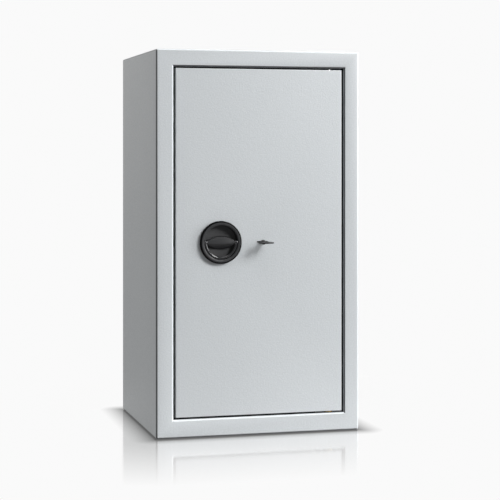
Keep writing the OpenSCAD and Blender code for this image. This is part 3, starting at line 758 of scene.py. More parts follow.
@dataclass(frozen=True)
class MouldedPlastic:
    """Satin moulded plastic with a finely eroded surface and polished edges."""

    name: str
    colour: Colour
    polished: Colour
    rough: float = 0.4
    specular: float = 0.5

    def build(self) -> bpy.types.Material:
        """Builds the finish.

        Returns:
            The finish's material.
        """
        g = Graph(self.name)
        eroded = g.noise(2600.0, 2.0, 0.6)
        handled = g.noise(70.0, 4.0, 0.6)
        edge = g.edges(0.0007)
        lighter = tuple(c * 1.25 for c in self.colour)
        g.set("Base Color", g.blend(g.sums("MULTIPLY", edge, 0.6),
                                    g.blend(handled, self.colour, lighter), self.polished))
        gloss = g.remap(handled, 0.3, 0.7, self.rough - 0.05, self.rough + 0.07)
        g.set("Roughness", g.sums("SUBTRACT", gloss, g.sums("MULTIPLY", edge, 0.14)))
        g.set("Normal", g.relief(eroded, 0.00003, 0.5))
        g.set("Specular IOR Level", self.specular)
        return g.material


@dataclass(frozen=True)
class BareMetal:
    """Machined or plated metal with a grain along one axis, stains and bright worn edges."""

    name: str
    colour: Colour
    stain: Colour
    rough: float = 0.3
    grain: Point = (40.0, 40.0, 2600.0)
    mottle: float = 55.0

    def build(self) -> bpy.types.Material:
        """Builds the finish.

        Returns:
            The finish's material.
        """
        g = Graph(self.name)
        lines = g.noise(1.0, 3.0, 0.6, g.stretched(self.grain))
        mottle = g.noise(self.mottle, 5.0, 0.62)
        edge = g.sums("MULTIPLY", g.edges(0.0006), 0.7)
        bright = tuple(min(1.0, c * 1.3) for c in self.colour)
        stained = g.blend(g.remap(mottle, 0.35, 0.68), self.stain, self.colour)
        g.set("Base Color", g.blend(edge, stained, bright))
        g.set("Metallic", 1.0)
        g.set("Roughness", g.remap(g.sums("ADD", lines, mottle), 0.7, 1.3,
                                   self.rough - 0.08, self.rough + 0.12))
        g.set("Normal", g.relief(lines, 0.00002, 0.35))
        return g.material


@dataclass(frozen=True)
class Foam:
    """Closed-cell foam strip."""

    name: str
    colour: Colour

    def build(self) -> bpy.types.Material:
        """Builds the finish.

        Returns:
            The finish's material.
        """
        g = Graph(self.name)
        pores = g.cells(1500.0)
        g.set("Base Color", g.blend(pores, tuple(c * 0.5 for c in self.colour), self.colour))
        g.set("Roughness", g.remap(pores, 0.0, 0.6, 0.95, 0.75))
        g.set("Normal", g.relief(pores, 0.0002, 0.8))
        return g.material


@dataclass(frozen=True)
class PressedBoard:
    """Mineral board that fills the walls."""

    name: str
    colour: Colour

    def build(self) -> bpy.types.Material:
        """Builds the finish.

        Returns:
            The finish's material.
        """
        g = Graph(self.name)
        grit = g.noise(600.0, 5.0, 0.7)
        g.set("Base Color", g.blend(grit, tuple(c * 0.75 for c in self.colour), self.colour))
        g.set("Roughness", g.remap(grit, 0.3, 0.7, 0.85, 1.0))
        g.set("Normal", g.relief(grit, 0.0003, 0.8))
        return g.material


Finish = TexturedPowderCoat | SatinPaint | MouldedPlastic | BareMetal | Foam | PressedBoard

FINISHES: dict[str, Finish] = {
    "powder_coat": TexturedPowderCoat("powder_coat", (0.655, 0.685, 0.705), (0.555, 0.585, 0.605)),
    "inner_paint": SatinPaint("inner_paint", (0.56, 0.585, 0.60)),
    "mineral_fill": PressedBoard("mineral_fill", (0.52, 0.49, 0.43)),
    "seal_foam": Foam("seal_foam", (0.03, 0.03, 0.032)),
    "handle_black": MouldedPlastic("handle_black", (0.030, 0.031, 0.033), (0.06, 0.062, 0.066)),
    # cup_floor is lighter than handle_black: painted light that lifts the shade the rim casts into the cup.
    "cup_floor": MouldedPlastic("cup_floor", (0.041, 0.042, 0.044), (0.06, 0.062, 0.066), 0.5),
    # Near-black, barely reflective finish for the disc's outer rounding and side: painted shade that draws a
    # dark outline round the disc.
    "handle_edge_shade": MouldedPlastic("handle_edge_shade", (0.003, 0.003, 0.0035), (0.006, 0.006, 0.007), 0.7, 0.08),
    "bail_lacquer": MouldedPlastic("bail_lacquer", (0.014, 0.015, 0.017), (0.04, 0.042, 0.045), 0.16, 1.0),
    "zinc_steel": BareMetal("zinc_steel", (0.63, 0.65, 0.67), (0.50, 0.50, 0.47), 0.34),
    "bright_steel": BareMetal("bright_steel", (0.66, 0.66, 0.67), (0.52, 0.52, 0.53), 0.24,
                              (2600.0, 2600.0, 40.0)),
    "brass": BareMetal("brass", (0.74, 0.56, 0.26), (0.55, 0.38, 0.16), 0.26),
    "hardened_steel": BareMetal("hardened_steel", (0.16, 0.16, 0.17), (0.08, 0.085, 0.10), 0.42),
    "guide_nylon": MouldedPlastic("guide_nylon", (0.66, 0.62, 0.52), (0.8, 0.78, 0.7), 0.45),
    # The key's base colour is near black, far darker than nickel: painted shade standing for the dark room
    # that the key mirrors.
    "key_nickel": BareMetal("key_nickel", (0.105, 0.105, 0.104), (0.05, 0.05, 0.05), 0.42,
                            (2600.0, 60.0, 2600.0), 160.0),
}


class Workshop:
    """Holds the frame and the built finishes, and dresses and places finished pieces."""

    def __init__(self, frame: dict) -> None:
        """Builds every finish once and assigns it to the frame's own nodes.
        """
        self.frame = frame
        self.finishes = {slot: finish.build() for slot, finish in FINISHES.items()}
        slots = {row["node"]: row["material_slot"] for row in frame["record"]["subparts"]}
        for node, piece in frame["nodes"].items():
            self.coat(piece, slots[node])
        log.info("%d carried-over nodes dressed", len(slots))

    def coat(self, piece: Piece, slot: str) -> None:
        """Gives a piece one finish all over.

        Args:
            piece: The piece that changes.
            slot: The material slot.
        """
        finish = self.finishes[slot]
        if piece.data.materials:
            for index in range(len(piece.data.materials)):
                piece.data.materials[index] = finish
        else:
            piece.data.materials.append(finish)

    def recoat(self, piece: Piece, finish: str, test: Test) -> None:
        """Gives the faces whose middle passes a test another finish.

        Args:
            piece: The piece that changes.
            finish: The material slot whose finish is used.
            test: Tells whether a place counts.
        """
        piece.data.materials.append(self.finishes[finish])
        for face in piece.data.polygons:
            if test(face.center):
                face.material_index = len(piece.data.materials) - 1

    def place(self, piece: Piece, body: str, slot: str, *replaced: str) -> Piece:
        """Dresses a finished piece and hands it to its body.

        Args:
            piece: The finished piece, with its place in its mesh.
            body: The frame's body that carries it.
            slot: The record's material slot.
            replaced: The frame's nodes that it stands for.

        Returns:
            The same piece.
        """
        self.coat(piece, slot)
        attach(piece, body)
        if replaced:
            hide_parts(*replaced)
        log.info("%s: %d faces on %s, in place of %s", piece.name, len(piece.data.polygons), body,
                 replaced or "nothing")
        return piece


# --------------------------------------------------------------------------- cabinet


@dataclass
class CabinetShell:
    """Folded outer sheet with the front frame and the jamb of the door opening."""

    sheet: float = 3.0 * MM
    fold: float = 3.5 * MM
    reveal_fold: float = 4.0 * MM
    bolt_play: float = 0.8 * MM
    rod_play: float = 0.6 * MM
    anchor_radius: float = 6.0 * MM
    anchor_spacing: tuple[float, float] = (200.0 * MM, 120.0 * MM)
    anchor_middle: float = 30.0 * MM
    reach: float = 8.0 * MM
    rod_tooth: float = 4.1 * MM
    dog_height: float = 40.0 * MM
    dog_play: float = 1.5 * MM
    dog_swing: float = 9.0 * MM
    centre_play: float = 20.0 * MM

    def build(self, shop: Workshop) -> None:
        """Builds the shell and puts it in place of the frame's.

        Args:
            shop: Dresses and places the finished piece.
        """
        low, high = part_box("body_shell")
        liner_low, liner_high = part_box("inner_liner")
        skin = (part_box("stop_frame")[0].x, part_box("stop_frame")[0].z)
        liner_sheet = skin[0] - liner_low.x
        opening_low = Vector((skin[0], low.y, skin[1]))
        opening_high = Vector((liner_high.x - liner_sheet, liner_low.y, liner_high.z - liner_sheet))
        shell = self._fold(low, high, opening_low, opening_high)
        combine(shell, self._cutters(opening_low, opening_high), Cut.REMOVE)
        shade(shell, 35)
        shop.place(shell, "cabinet", "powder_coat", "body_shell")

    def _fold(self, low: Vector, high: Vector, opening_low: Vector, opening_high: Vector) -> Piece:
        """Folds the sheet: a box with its front inset to the opening and pushed in as the jamb.

        Args:
            low: The shell's lowest corner.
            high: The shell's highest corner.
            opening_low: Lowest corner of the door opening.
            opening_high: Highest corner of the door opening.

        Returns:
            The folded shell, before its holes.
        """
        shell = add_block("cabinet_shell", low, high)
        with Editing(shell) as edit:
            edit.faces((0, -1, 0), lambda p: True)
            narrowest = min(opening_low.x - low.x, high.x - opening_high.x,
                            opening_low.z - low.z, high.z - opening_high.z)
            bpy.ops.mesh.inset(thickness=narrowest)
            inner_low = low + Vector((narrowest, 0, narrowest))
            inner_high = high - Vector((narrowest, 0, narrowest))

            def inner(p: Vector) -> bool:
                """Tells the four corners of the inset face."""
                return (p.y < low.y + NEAR and inner_low.x - NEAR < p.x < inner_high.x + NEAR
                        and inner_low.z - NEAR < p.z < inner_high.z + NEAR)

            moves = [
                (lambda p: inner(p) and p.x < 0, (opening_low.x - inner_low.x, 0, 0)),
                (lambda p: inner(p) and p.x > 0, (opening_high.x - inner_high.x, 0, 0)),
                (lambda p: inner(p) and p.z < high.z / 2, (0, 0, opening_low.z - inner_low.z)),
                (lambda p: inner(p) and p.z > high.z / 2, (0, 0, opening_high.z - inner_high.z)),
            ]
            for test, offset in moves:
                edit.points(test)
                edit.move(*offset)
            close = self.centre_play
            edit.faces((0, -1, 0), lambda p: abs(p.x) < close and abs(p.z - high.z / 2) < close)
            edit.push(0, opening_high.y - low.y, 0)
            bpy.ops.mesh.delete(type="FACE")
            edit.faces((0, 1, 0), lambda p: p.y > high.y - NEAR)
            bpy.ops.mesh.delete(type="FACE")

            def outer_edge(p: Vector) -> bool:
                """Tells the points on the body's four long edges and its front edges.

                Args:
                    p: The point.

                Returns:
                    Whether it is one.
                """
                on_side = abs(abs(p.x) - high.x) < NEAR
                on_end = p.z < low.z + NEAR or p.z > high.z - NEAR
                return (on_side and on_end) or (p.y < low.y + NEAR and (on_side or on_end))

            edit.choose("EDGE", lambda e: all(outer_edge(v.co) for v in e.verts) and len(e.link_faces) == 2
                        and outer_edge((e.verts[0].co + e.verts[1].co) / 2))
            edit.bevel(self.fold, 5)

            def reveal_edge(p: Vector) -> bool:
                """Tells the points on the opening's front edges."""
                return (p.y < low.y + NEAR and opening_low.x - NEAR < p.x < opening_high.x + NEAR
                        and opening_low.z - NEAR < p.z < opening_high.z + NEAR)

            edit.edges(reveal_edge)
            edit.bevel(self.reveal_fold, 5)
        thicken(shell, self.sheet)
        return shell

    def _cutters(self, opening_low: Vector, opening_high: Vector) -> list[Piece]:
        """Makes cutters for the bolt holes, the rod slots, the dogs' pockets and the base's anchor holes.

        Args:
            opening_low: Lowest corner of the door opening.
            opening_high: Highest corner of the door opening.

        Returns:
            The cutters.
        """
        cutters = []
        reach, play = self.reach, self.rod_play
        low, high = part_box("locking_bolts")
        radius = (high.y - low.y) / 2
        for z in spread(low.z + radius, high.z - radius, 3):
            cutters.append(add_round("bolt_hole", Axis.X, radius + self.bolt_play,
                                     (opening_low.x - reach, (low.y + high.y) / 2, z), 2 * reach))
        for node, z, left, right in (("upper_rod", opening_high.z, self.rod_tooth, 0.0),
                                     ("lower_rod", opening_low.z, 0.0, self.rod_tooth)):
            low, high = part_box(node)
            cutters.append(add_block("rod_slot", (low.x + left - play, low.y - play / 2, z - reach),
                                     (high.x - right + play, high.y + play, z + reach)))
        low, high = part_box("hinge_side_dogs")
        for z in (low.z, high.z - self.dog_height):
            cutters.append(add_block(
                "dog_pocket", (opening_high.x - reach, low.y - self.dog_play, z - self.dog_play),
                (opening_high.x + reach, high.y + self.dog_swing, z + self.dog_height + self.dog_play)))
        for side in (-0.5, 0.5):
            for row in (-0.5, 0.5):
                start = (side * self.anchor_spacing[0],
                         self.anchor_middle + row * self.anchor_spacing[1], -reach)
                cutters.append(add_round("anchor_hole", Axis.Z, self.anchor_radius, start, 2 * reach))
        return cutters


@dataclass
class FoldedShelves:
    """Two sheet shelves with their front and rear edges folded down."""

    sheet: float = 1.5 * MM
    inset: float = 15.0 * MM

    def build(self, shop: Workshop) -> None:
        """Builds both shelves in place of the frame's.

        Args:
            shop: Dresses and places the finished piece.
        """
        for node in ("shelf_upper", "shelf_lower"):
            low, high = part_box(node)
            shelf = add_block(f"folded_{node}", (low.x, low.y, high.z - self.sheet), (high.x, high.y, high.z))
            edge_drop = high.z - self.sheet - low.z
            with Editing(shelf) as edit:
                for x in (low.x + self.inset, high.x - self.inset):
                    edit.split((x, 0, 0), (1, 0, 0))
                for y in (low.y + self.sheet, high.y - self.sheet):
                    edit.split((0, y, 0), (0, 1, 0))

                def strip(p: Vector) -> bool:
                    """Tells the two long strips under the shelf that the folded edges grow from."""
                    return (abs(p.x) < high.x - self.inset
                            and (p.y < low.y + self.sheet or p.y > high.y - self.sheet))

                edit.faces((0, 0, -1), strip)
                edit.push(0, 0, -edge_drop)
                edit.edges_along((1, 0, 0), lambda p: p.z > high.z - NEAR
                                 and (p.y < low.y + NEAR or p.y > high.y - NEAR))
                edit.bevel(self.sheet * 0.9)
            soften(shelf, 0.25 * MM, 2)
            shade(shelf)
            shop.place(shelf, "cabinet", "inner_paint", node)


@dataclass
class FoamSeal:
    """Rounded foam strip round three sides of the stop bar."""

    width: float = 4.0 * MM
    round_over: float = 0.6 * MM

    def build(self, shop: Workshop) -> None:
        """Builds the strip in place of the frame's.

        Args:
            shop: Dresses and places the finished piece.
        """
        low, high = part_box("door_seal")
        width = self.width
        outer = add_block("foam_seal", low, high)
        inner = add_block("seal_hollow", (low.x + width, low.y - width, low.z + width),
                          (high.x + width, high.y + width, high.z - width))
        combine(outer, [inner], Cut.REMOVE)
        soften(outer, self.round_over, 3)
        shade(outer)
        shop.place(outer, "cabinet", "seal_foam", "door_seal")


@dataclass
class GapShadeStrip:
    """Thin black strip round the opening and over the stop bars' edges: a dark sheet put in the gap round the
    door as painted shade.
    """

    thick: float = 0.5 * MM
    from_front: float = 4.2 * MM
    flange: float = 3.0 * MM
    flange_thick: float = 0.55 * MM
    hinge_side_end: float = 14.0 * MM
    reach: float = 20.0 * MM

    def build(self, shop: Workshop) -> None:
        """Builds the strip on the cabinet's opening.

        Args:
            shop: Dresses and places the finished piece.
        """
        body_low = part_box("body_shell")[0]
        stop_low, stop_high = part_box("stop_frame")
        liner_low, liner_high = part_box("inner_liner")
        right = liner_high.x - (stop_low.x - liner_low.x)
        front = body_low.y + self.from_front
        low, high = Vector((stop_low.x, front, stop_low.z)), Vector((right, stop_low.y, stop_high.z))
        # Painted shade: the dark strip lines the jamb so that the gap round the door reads dark.
        strip = add_block("gap_shade_strip", low, high)
        t, reach = self.thick, self.reach
        bore = add_block("bore", (low.x + t, front - reach, low.z + t),
                         (high.x - t, high.y - self.flange_thick, high.z - t))
        window = add_block("window", (low.x + self.flange, front - reach, low.z + self.flange),
                           (high.x - t, high.y + reach, high.z - self.flange))
        past_stop = add_block("past_stop", (stop_high.x, front - reach, low.z + t),
                              (high.x - t, high.y + reach, high.z - t))
        combine(strip, [bore, window, past_stop], Cut.REMOVE)
        side = add_block("hinge_side", (high.x - t, high.y - t, low.z),
                         (high.x, front + self.hinge_side_end, high.z))
        combine(strip, [side], Cut.JOIN)
        shade(strip, 35)
        shop.place(strip, "cabinet", "seal_foam")


# --------------------------------------------------------------------------- door


@dataclass
class DoorLeaf:
    """The flush door plate with its handle hole and its keyhole."""

    edge: float = 1.0 * MM
    cup_play: float = 0.4 * MM
    cup_wall: float = 2.2 * MM
    cup_radius: float = 28.8 * MM
    keyhole_reach: float = 9.8 * MM
    keyhole_height: float = 3.0 * MM
    keyhole_radius: float = 3.0 * MM
    past: float = 4.0 * MM

    def build(self, shop: Workshop) -> None:
        """Builds the plate in place of the frame's.

        Args:
            shop: Dresses and places the finished piece.
        """
        low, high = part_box("door_plate")
        leaf = add_block("door_leaf", low, high)
        with Editing(leaf) as edit:
            edit.edges(lambda p: p.y < low.y + NEAR)
            edit.bevel(self.edge)
        hub_low, hub_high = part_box("handle_disc")
        key_low, key_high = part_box("key")
        hub = (hub_low + hub_high) / 2
        key = (key_low + key_high) / 2
        past = self.past
        depth = high.y - low.y + 2 * past
        combine(leaf, [
            add_round("cup_hole", Axis.Y, self.cup_radius + self.cup_wall + self.cup_play,
                      (hub.x, low.y - past, hub.z), depth, 96),
            add_round("key_round", Axis.Y, self.keyhole_radius, (key.x, low.y - past, key.z), depth, 48),
            add_block("key_slot", (key.x - self.keyhole_reach, low.y - past, key.z - self.keyhole_height / 2),
                      (key.x + self.keyhole_reach, high.y + past, key.z + self.keyhole_height / 2)),
        ], Cut.REMOVE)
        shade(leaf, 35)
        shop.place(leaf, "door", "powder_coat", "door_plate")


@dataclass
class BoltworkCover:
    """Inner cover of the door with two pressed stiffening fields and its screws."""

    margin: float = 30.0 * MM
    press: float = 1.6 * MM
    slope: float = 5.0 * MM
    press_round: float = 1.5 * MM
    bush_lap: float = 2.0 * MM
    clear: float = 42.0 * MM
    screw_inset: float = 8.0 * MM
    head_radius: float = 4.0 * MM
    head_height: float = 2.5 * MM
    shank_radius: float = 2.0 * MM
    shank_length: float = 6.0 * MM
    socket_radius: float = 1.6 * MM
    socket_depth: float = 1.5 * MM

    def build(self, shop: Workshop) -> None:
        """Builds the cover and its screws in place of the frame's.

        Args:
            shop: Dresses and places the finished piece.
        """
        low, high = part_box("door_cover")
        hub_low, hub_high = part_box("spindle_bush")
        hub = (hub_low + hub_high) / 2
        cover = add_block("boltwork_cover", low, high)
        with Editing(cover) as edit:
            for z in (hub.z - self.clear, hub.z + self.clear):
                edit.split((0, 0, z), (0, 0, 1))
            for above in (False, True):
                edit.faces((0, 1, 0), lambda p: p.y > high.y - NEAR
                           and ((p.z > hub.z + self.clear) if above else (p.z < hub.z - self.clear)))
                bpy.ops.mesh.inset(thickness=self.margin)
                bpy.ops.mesh.inset(thickness=self.slope)
                edit.move(0, self.press, 0)
            edit.edges(lambda p: p.y > high.y + self.press - NEAR)
            edit.bevel(self.press_round, 3)
        hole = add_round("spindle_hole", Axis.Y, (hub_high.x - hub_low.x) / 2 - self.bush_lap,
                         (hub.x, low.y - self.press, hub.z), high.y - low.y + 3 * self.press)
        combine(cover, [hole], Cut.REMOVE)
        shade(cover)
        shop.place(cover, "door", "inner_paint", "door_cover")
        self._screws(shop, low, high)

    def _screws(self, shop: Workshop, low: Vector, high: Vector) -> None:
        """Turns one pan-head screw with a hexagon socket and copies it to its eight places.

        Args:
            shop: Dresses and places the finished piece.
            low: The cover's lowest corner.
            high: The cover's highest corner.
        """
        crown = [(self.head_radius, 0.2 * MM), (self.head_radius, self.head_height - 1.1 * MM),
                 (self.head_radius - 0.35 * MM, self.head_height - 0.4 * MM),
                 (self.head_radius - 1.2 * MM, self.head_height)]
        profile = [(0.0, -self.shank_length), (self.shank_radius - 0.4 * MM, -self.shank_length),
                   (self.shank_radius, -self.shank_length + 0.5 * MM), (self.shank_radius, 0.0),
                   (self.head_radius - 0.2 * MM, 0.0), *crown, (0.0, self.head_height)]
        screw = lathe("screw", profile, (0, 0, 0), Axis.Y, 32)
        socket = add_round("socket", Axis.Y, self.socket_radius,
                           (0, self.head_height - self.socket_depth, 0), 2 * self.socket_depth, 6)
        combine(screw, [socket], Cut.REMOVE)
        shade(screw)
        inset = self.screw_inset
        places = [(x, high.y, z) for x in (low.x + inset, high.x - inset)
                  for z in spread(low.z + inset, high.z - inset, 4)]
        copies = [copy_of(screw, place) for place in places]
        bpy.data.objects.remove(screw)
        shop.place(join("pan_head_screws", copies), "door", "bright_steel", "cover_screws")


@dataclass
class LockingBolts:
    """Three round bolts with a chamfered nose and a turned groove."""

    nose: float = 1.8 * MM
    groove: float = 0.5 * MM
    groove_place: float = 12.0 * MM
    groove_width: float = 3.0 * MM

    def build(self, shop: Workshop) -> None:
        """Turns one bolt and copies it to its three places.

        Args:
            shop: Dresses and places the finished piece.
        """
        low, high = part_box("locking_bolts")
        radius = (high.y - low.y) / 2
        length = high.x - low.x
        root = radius - self.groove
        start = length - self.groove_place
        end = start + self.groove_width
        profile = [(0.0, 0.0), (radius - self.nose, 0.0), (radius - self.nose * 0.45, self.nose * 0.3),
                   (radius, self.nose), (radius, start), (root, start + self.groove),
                   (root, end - self.groove), (radius, end), (radius, length), (0.0, length)]
        bolt = lathe("bolt", profile, (0, 0, 0), Axis.X, 64)
        shade(bolt)
        places = [(low.x, (low.y + high.y) / 2, z) for z in spread(low.z + radius, high.z - radius, 3)]
        copies = [copy_of(bolt, place) for place in places]
        bpy.data.objects.remove(bolt)
        shop.place(join("round_bolts", copies), "boltwork", "bright_steel", "locking_bolts")


# --------------------------------------------------------------------------- handle


@dataclass
class CupHandle:
    """Turning cup handle: rosette, rim with sunk cup and web, and the folding bail."""

    cup_radius: float = 28.8 * MM
    cup_wall: float = 2.2 * MM
    cup_depth: float = 4.0 * MM
    cup_floor: float = 2.5 * MM
    rim_gap: float = 1.5 * MM
    web_radius: float = 23.1 * MM
    web_height: float = 5.5 * MM
    web_top: tuple[float, float] = (9.2 * MM, 42.8 * MM)
    web_bottom: tuple[float, float] = (11.0 * MM, 35.0 * MM)
    web_foot: float = 2.0 * MM
    groove: float = 1.0 * MM
    web_slope: float = -2.0 * MM
    bail_radius: float = 25.9 * MM
    bail_bar: float = 2.35 * MM
    pivot_height: float = 4.0 * MM
    ear_radius: float = 3.2 * MM
    pin_radius: float = 1.3 * MM
    pin_play: float = 0.12 * MM
    pin_inner_end: float = 19.0 * MM
    ring_play: float = 0.4 * MM
    ring_edge: float = 0.3 * MM
    edge_shade_band: float = 2.7 * MM
    floor_band: float = 1.0 * MM
    centre: Vector = field(init=False)
    radius: float = field(init=False)
    proud: float = field(init=False)

    def build(self, shop: Workshop) -> None:
        """Builds the handle's visible pieces in place of the frame's.

        Args:
            shop: Dresses and places the finished piece.
        """
        low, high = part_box("handle_disc")
        door_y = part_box("door_plate")[0].y
        self.centre = Vector(((low.x + high.x) / 2, door_y, (low.z + high.z) / 2))
        self.radius = (high.x - low.x) / 2
        self.proud = door_y - low.y
        shop.place(self._rosette(), "door", "handle_black", "handle_rosette")
        disc = shop.place(self._disc(), "handle", "handle_black", "handle_disc")
        # Painted shade: the disc's outer band takes a near-black finish that draws a dark outline round it.
        shop.recoat(disc, "handle_edge_shade", lambda p: self._from_axis(p) > self.radius - self.edge_shade_band)
        # Painted light: the cup's floor takes a lighter finish that lifts the shade of the rim.
        shop.recoat(disc, "cup_floor", lambda p: self._from_axis(p) < self.cup_radius - self.floor_band
                    and p.y > self.centre.y + self.cup_depth - self.floor_band)
        bail = shop.place(self._bail(), "bail", "handle_black", "bail")
        shop.recoat(bail, "bail_lacquer", lambda p: True)
        shop.place(self._pins(), "handle", "bright_steel", "bail_pins")

    def _from_axis(self, place: Vector) -> float:
        """Distance of a place from the handle's turning axis."""
        return math.hypot(place.x - self.centre.x, place.z - self.centre.z)

    def _rosette(self) -> Piece:
        """Turns the thin fixed ring under the rim.

        Returns:
            The ring.
        """
        low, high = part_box("handle_rosette")
        outer = (high.x - low.x) / 2
        thick = high.y - low.y
        inner = self.cup_radius + self.cup_wall + self.ring_play
        edge = self.ring_edge
        profile = [(inner, 0), (inner, -thick), (outer - edge, -thick), (outer, -thick + edge),
                   (outer, 0), (inner, 0)]
        ring = lathe("rosette_ring", profile, self.centre, Axis.Y)
        shade(ring)
        return ring

    def _disc(self) -> Piece:
        """Turns the rim and the cup, and joins the web across it.

        Returns:
            The rim, cup and web in one piece.
        """
        r, p = self.radius, self.proud
        cup, wall = self.cup_radius, self.cup_wall
        profile = [
            (0.0, self.cup_depth),
            (cup - 3.0 * MM, self.cup_depth),
            (cup - 1.2 * MM, self.cup_depth - 0.35 * MM),
            (cup - 0.3 * MM, self.cup_depth - 1.3 * MM),
            (cup, self.cup_depth - 2.8 * MM),
            (cup, -p + 1.6 * MM),
            (cup + 0.25 * MM, -p + 0.7 * MM),
            (cup + 0.9 * MM, -p + 0.2 * MM),
            (cup + 1.8 * MM, -p),
            (r - 2.6 * MM, -p),
            (r - 1.5 * MM, -p + 0.25 * MM),
            (r - 0.6 * MM, -p + 0.9 * MM),
            (r - 0.1 * MM, -p + 2.0 * MM),
            (r, -p + 3.2 * MM),
            (r, -self.rim_gap),
            (cup + wall, -self.rim_gap),
            (cup + wall, self.cup_depth + self.cup_floor),
            (0.0, self.cup_depth + self.cup_floor),
        ]
        disc = lathe("cup_handle", profile, self.centre, Axis.Y, 128)
        combine(disc, [self._groove()], Cut.REMOVE)
        combine(disc, [self._web()], Cut.JOIN)
        shade(disc, 32)
        return disc

    def _groove(self) -> Piece:
        """A solid that cuts the narrow groove which runs round the web's root in the cup's floor.

        Returns:
            The cutter.
        """
        floor_y = self.centre.y + self.cup_depth
        outline = [(self.centre.x + x, floor_y - self.groove, self.centre.z + z)
                   for x, z in self._web_outline(self.groove)]
        return extruded_outline("groove", outline, (0, 2.2 * self.groove, 0))

    def _web_outline(self, grow: float = 0.0) -> list[tuple[float, float]]:
        """Outline of the web as seen from the front, as an upper and a lower arch.

        Args:
            grow: How far the arches are moved outwards.

        Returns:
            (sideways, upward) pairs from the handle's axis.
        """
        def arch(rise: float, curve: float, sign: int) -> list[tuple[float, float]]:
            """Points of one arch, cut where it leaves the web's circle.

            Args:
                rise: Height of the arch over the handle's axis.
                curve: The arch's radius.
                sign: 1 for the upper arch, -1 for the lower one.

            Returns:
                (sideways, upward) pairs.
            """
            middle = rise - curve
            half = 0.0
            while math.hypot(half, middle + math.sqrt(curve ** 2 - half ** 2)) < self.web_radius:
                half += 0.05 * MM
            steps = 24
            xs = [half - 2 * half * i / steps for i in range(steps + 1)]
            return [(sign * x, sign * (middle + math.sqrt(curve ** 2 - x ** 2))) for x in xs]
        return (arch(self.web_top[0] + grow, self.web_top[1] + grow, 1)
                + arch(self.web_bottom[0] + grow, self.web_bottom[1] + grow, -1))

    def _web(self) -> Piece:
        """Extrudes the web from the cup's floor, slopes its lower half back and rounds its edges.

        Returns:
            The web.
        """
        x, y, z = self.centre
        root_y = y + self.cup_depth + 1.6 * MM
        front_y = y - self.web_height
        foot_y = y + self.cup_depth - self.web_foot
        low_z = z - self.web_bottom[0]
        outline = [(x + across, root_y, z + up) for across, up in self._web_outline()]
        web = extruded_outline("web", outline, (0, front_y - root_y, 0))
        past = 1 * MM
        wedge = [(front_y, z + self.web_slope), (foot_y, low_z), (foot_y, low_z - past),
                 (front_y - past, low_z - past), (front_y - past, z + self.web_slope)]
        slope = extruded_outline("slope", [(x - self.cup_radius, at_y, at_z) for at_y, at_z in wedge],
                                 (2 * self.cup_radius, 0, 0))
        combine(web, [slope], Cut.REMOVE)
        soften(web, 0.8 * MM, 4, 25)
        return web

    def _bail(self) -> Piece:
        """Halves a torus for the grip and adds its two ears.

        Returns:
            The bail.
        """
        pivot = self.centre - Vector((0, self.pivot_height, 0))
        clear_selection()
        bpy.ops.mesh.primitive_torus_add(
            major_radius=self.bail_radius, minor_radius=self.bail_bar, major_segments=96, minor_segments=24,
            location=pivot, rotation=(math.pi / 2, 0, 0),
        )
        bow = bpy.context.object
        bow.name = bow.data.name = "bail_grip"
        settle(bow)
        with Editing(bow) as edit:
            edit.everything()
            bpy.ops.mesh.bisect(plane_co=pivot, plane_no=(0, 0, 1), use_fill=True, clear_outer=True)
        ears = []
        for side in (-1, 1):
            x = pivot.x + side * self.bail_radius - self.bail_bar
            ear = add_round("ear", Axis.X, self.ear_radius, (x, pivot.y, pivot.z), 2 * self.bail_bar, 40)
            soften(ear, 0.6 * MM, 3)
            ears.append(ear)
        combine(bow, ears, Cut.JOIN)
        hole = add_round("pin_hole", Axis.X, self.pin_radius + self.pin_play,
                         (pivot.x - self.cup_radius, pivot.y, pivot.z), 2 * self.cup_radius, 48)
        combine(bow, [hole], Cut.REMOVE)
        shade(bow, 40)
        return bow

    def _pins(self) -> Piece:
        """Turns the two pivot pins, with domed inner ends.

        Returns:
            The two pins as one piece.
        """
        low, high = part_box("bail_pins")
        length = (high.x - low.x) / 2 - self.pin_inner_end
        y, z = (low.y + high.y) / 2, (low.z + high.z) / 2
        profile = [(0.0, 0.0), (self.pin_radius - 0.3 * MM, 0.0), (self.pin_radius, 0.3 * MM),
                   (self.pin_radius, length - 0.3 * MM), (self.pin_radius - 0.3 * MM, length), (0.0, length)]
        pin = lathe("pin", profile, (0, 0, 0), Axis.X, 24)
        shade(pin)
        copies = [copy_of(pin, (low.x, y, z)), copy_of(pin, (high.x - length, y, z))]
        bpy.data.objects.remove(pin)
        return join("pivot_pins", copies)


# --------------------------------------------------------------------------- key


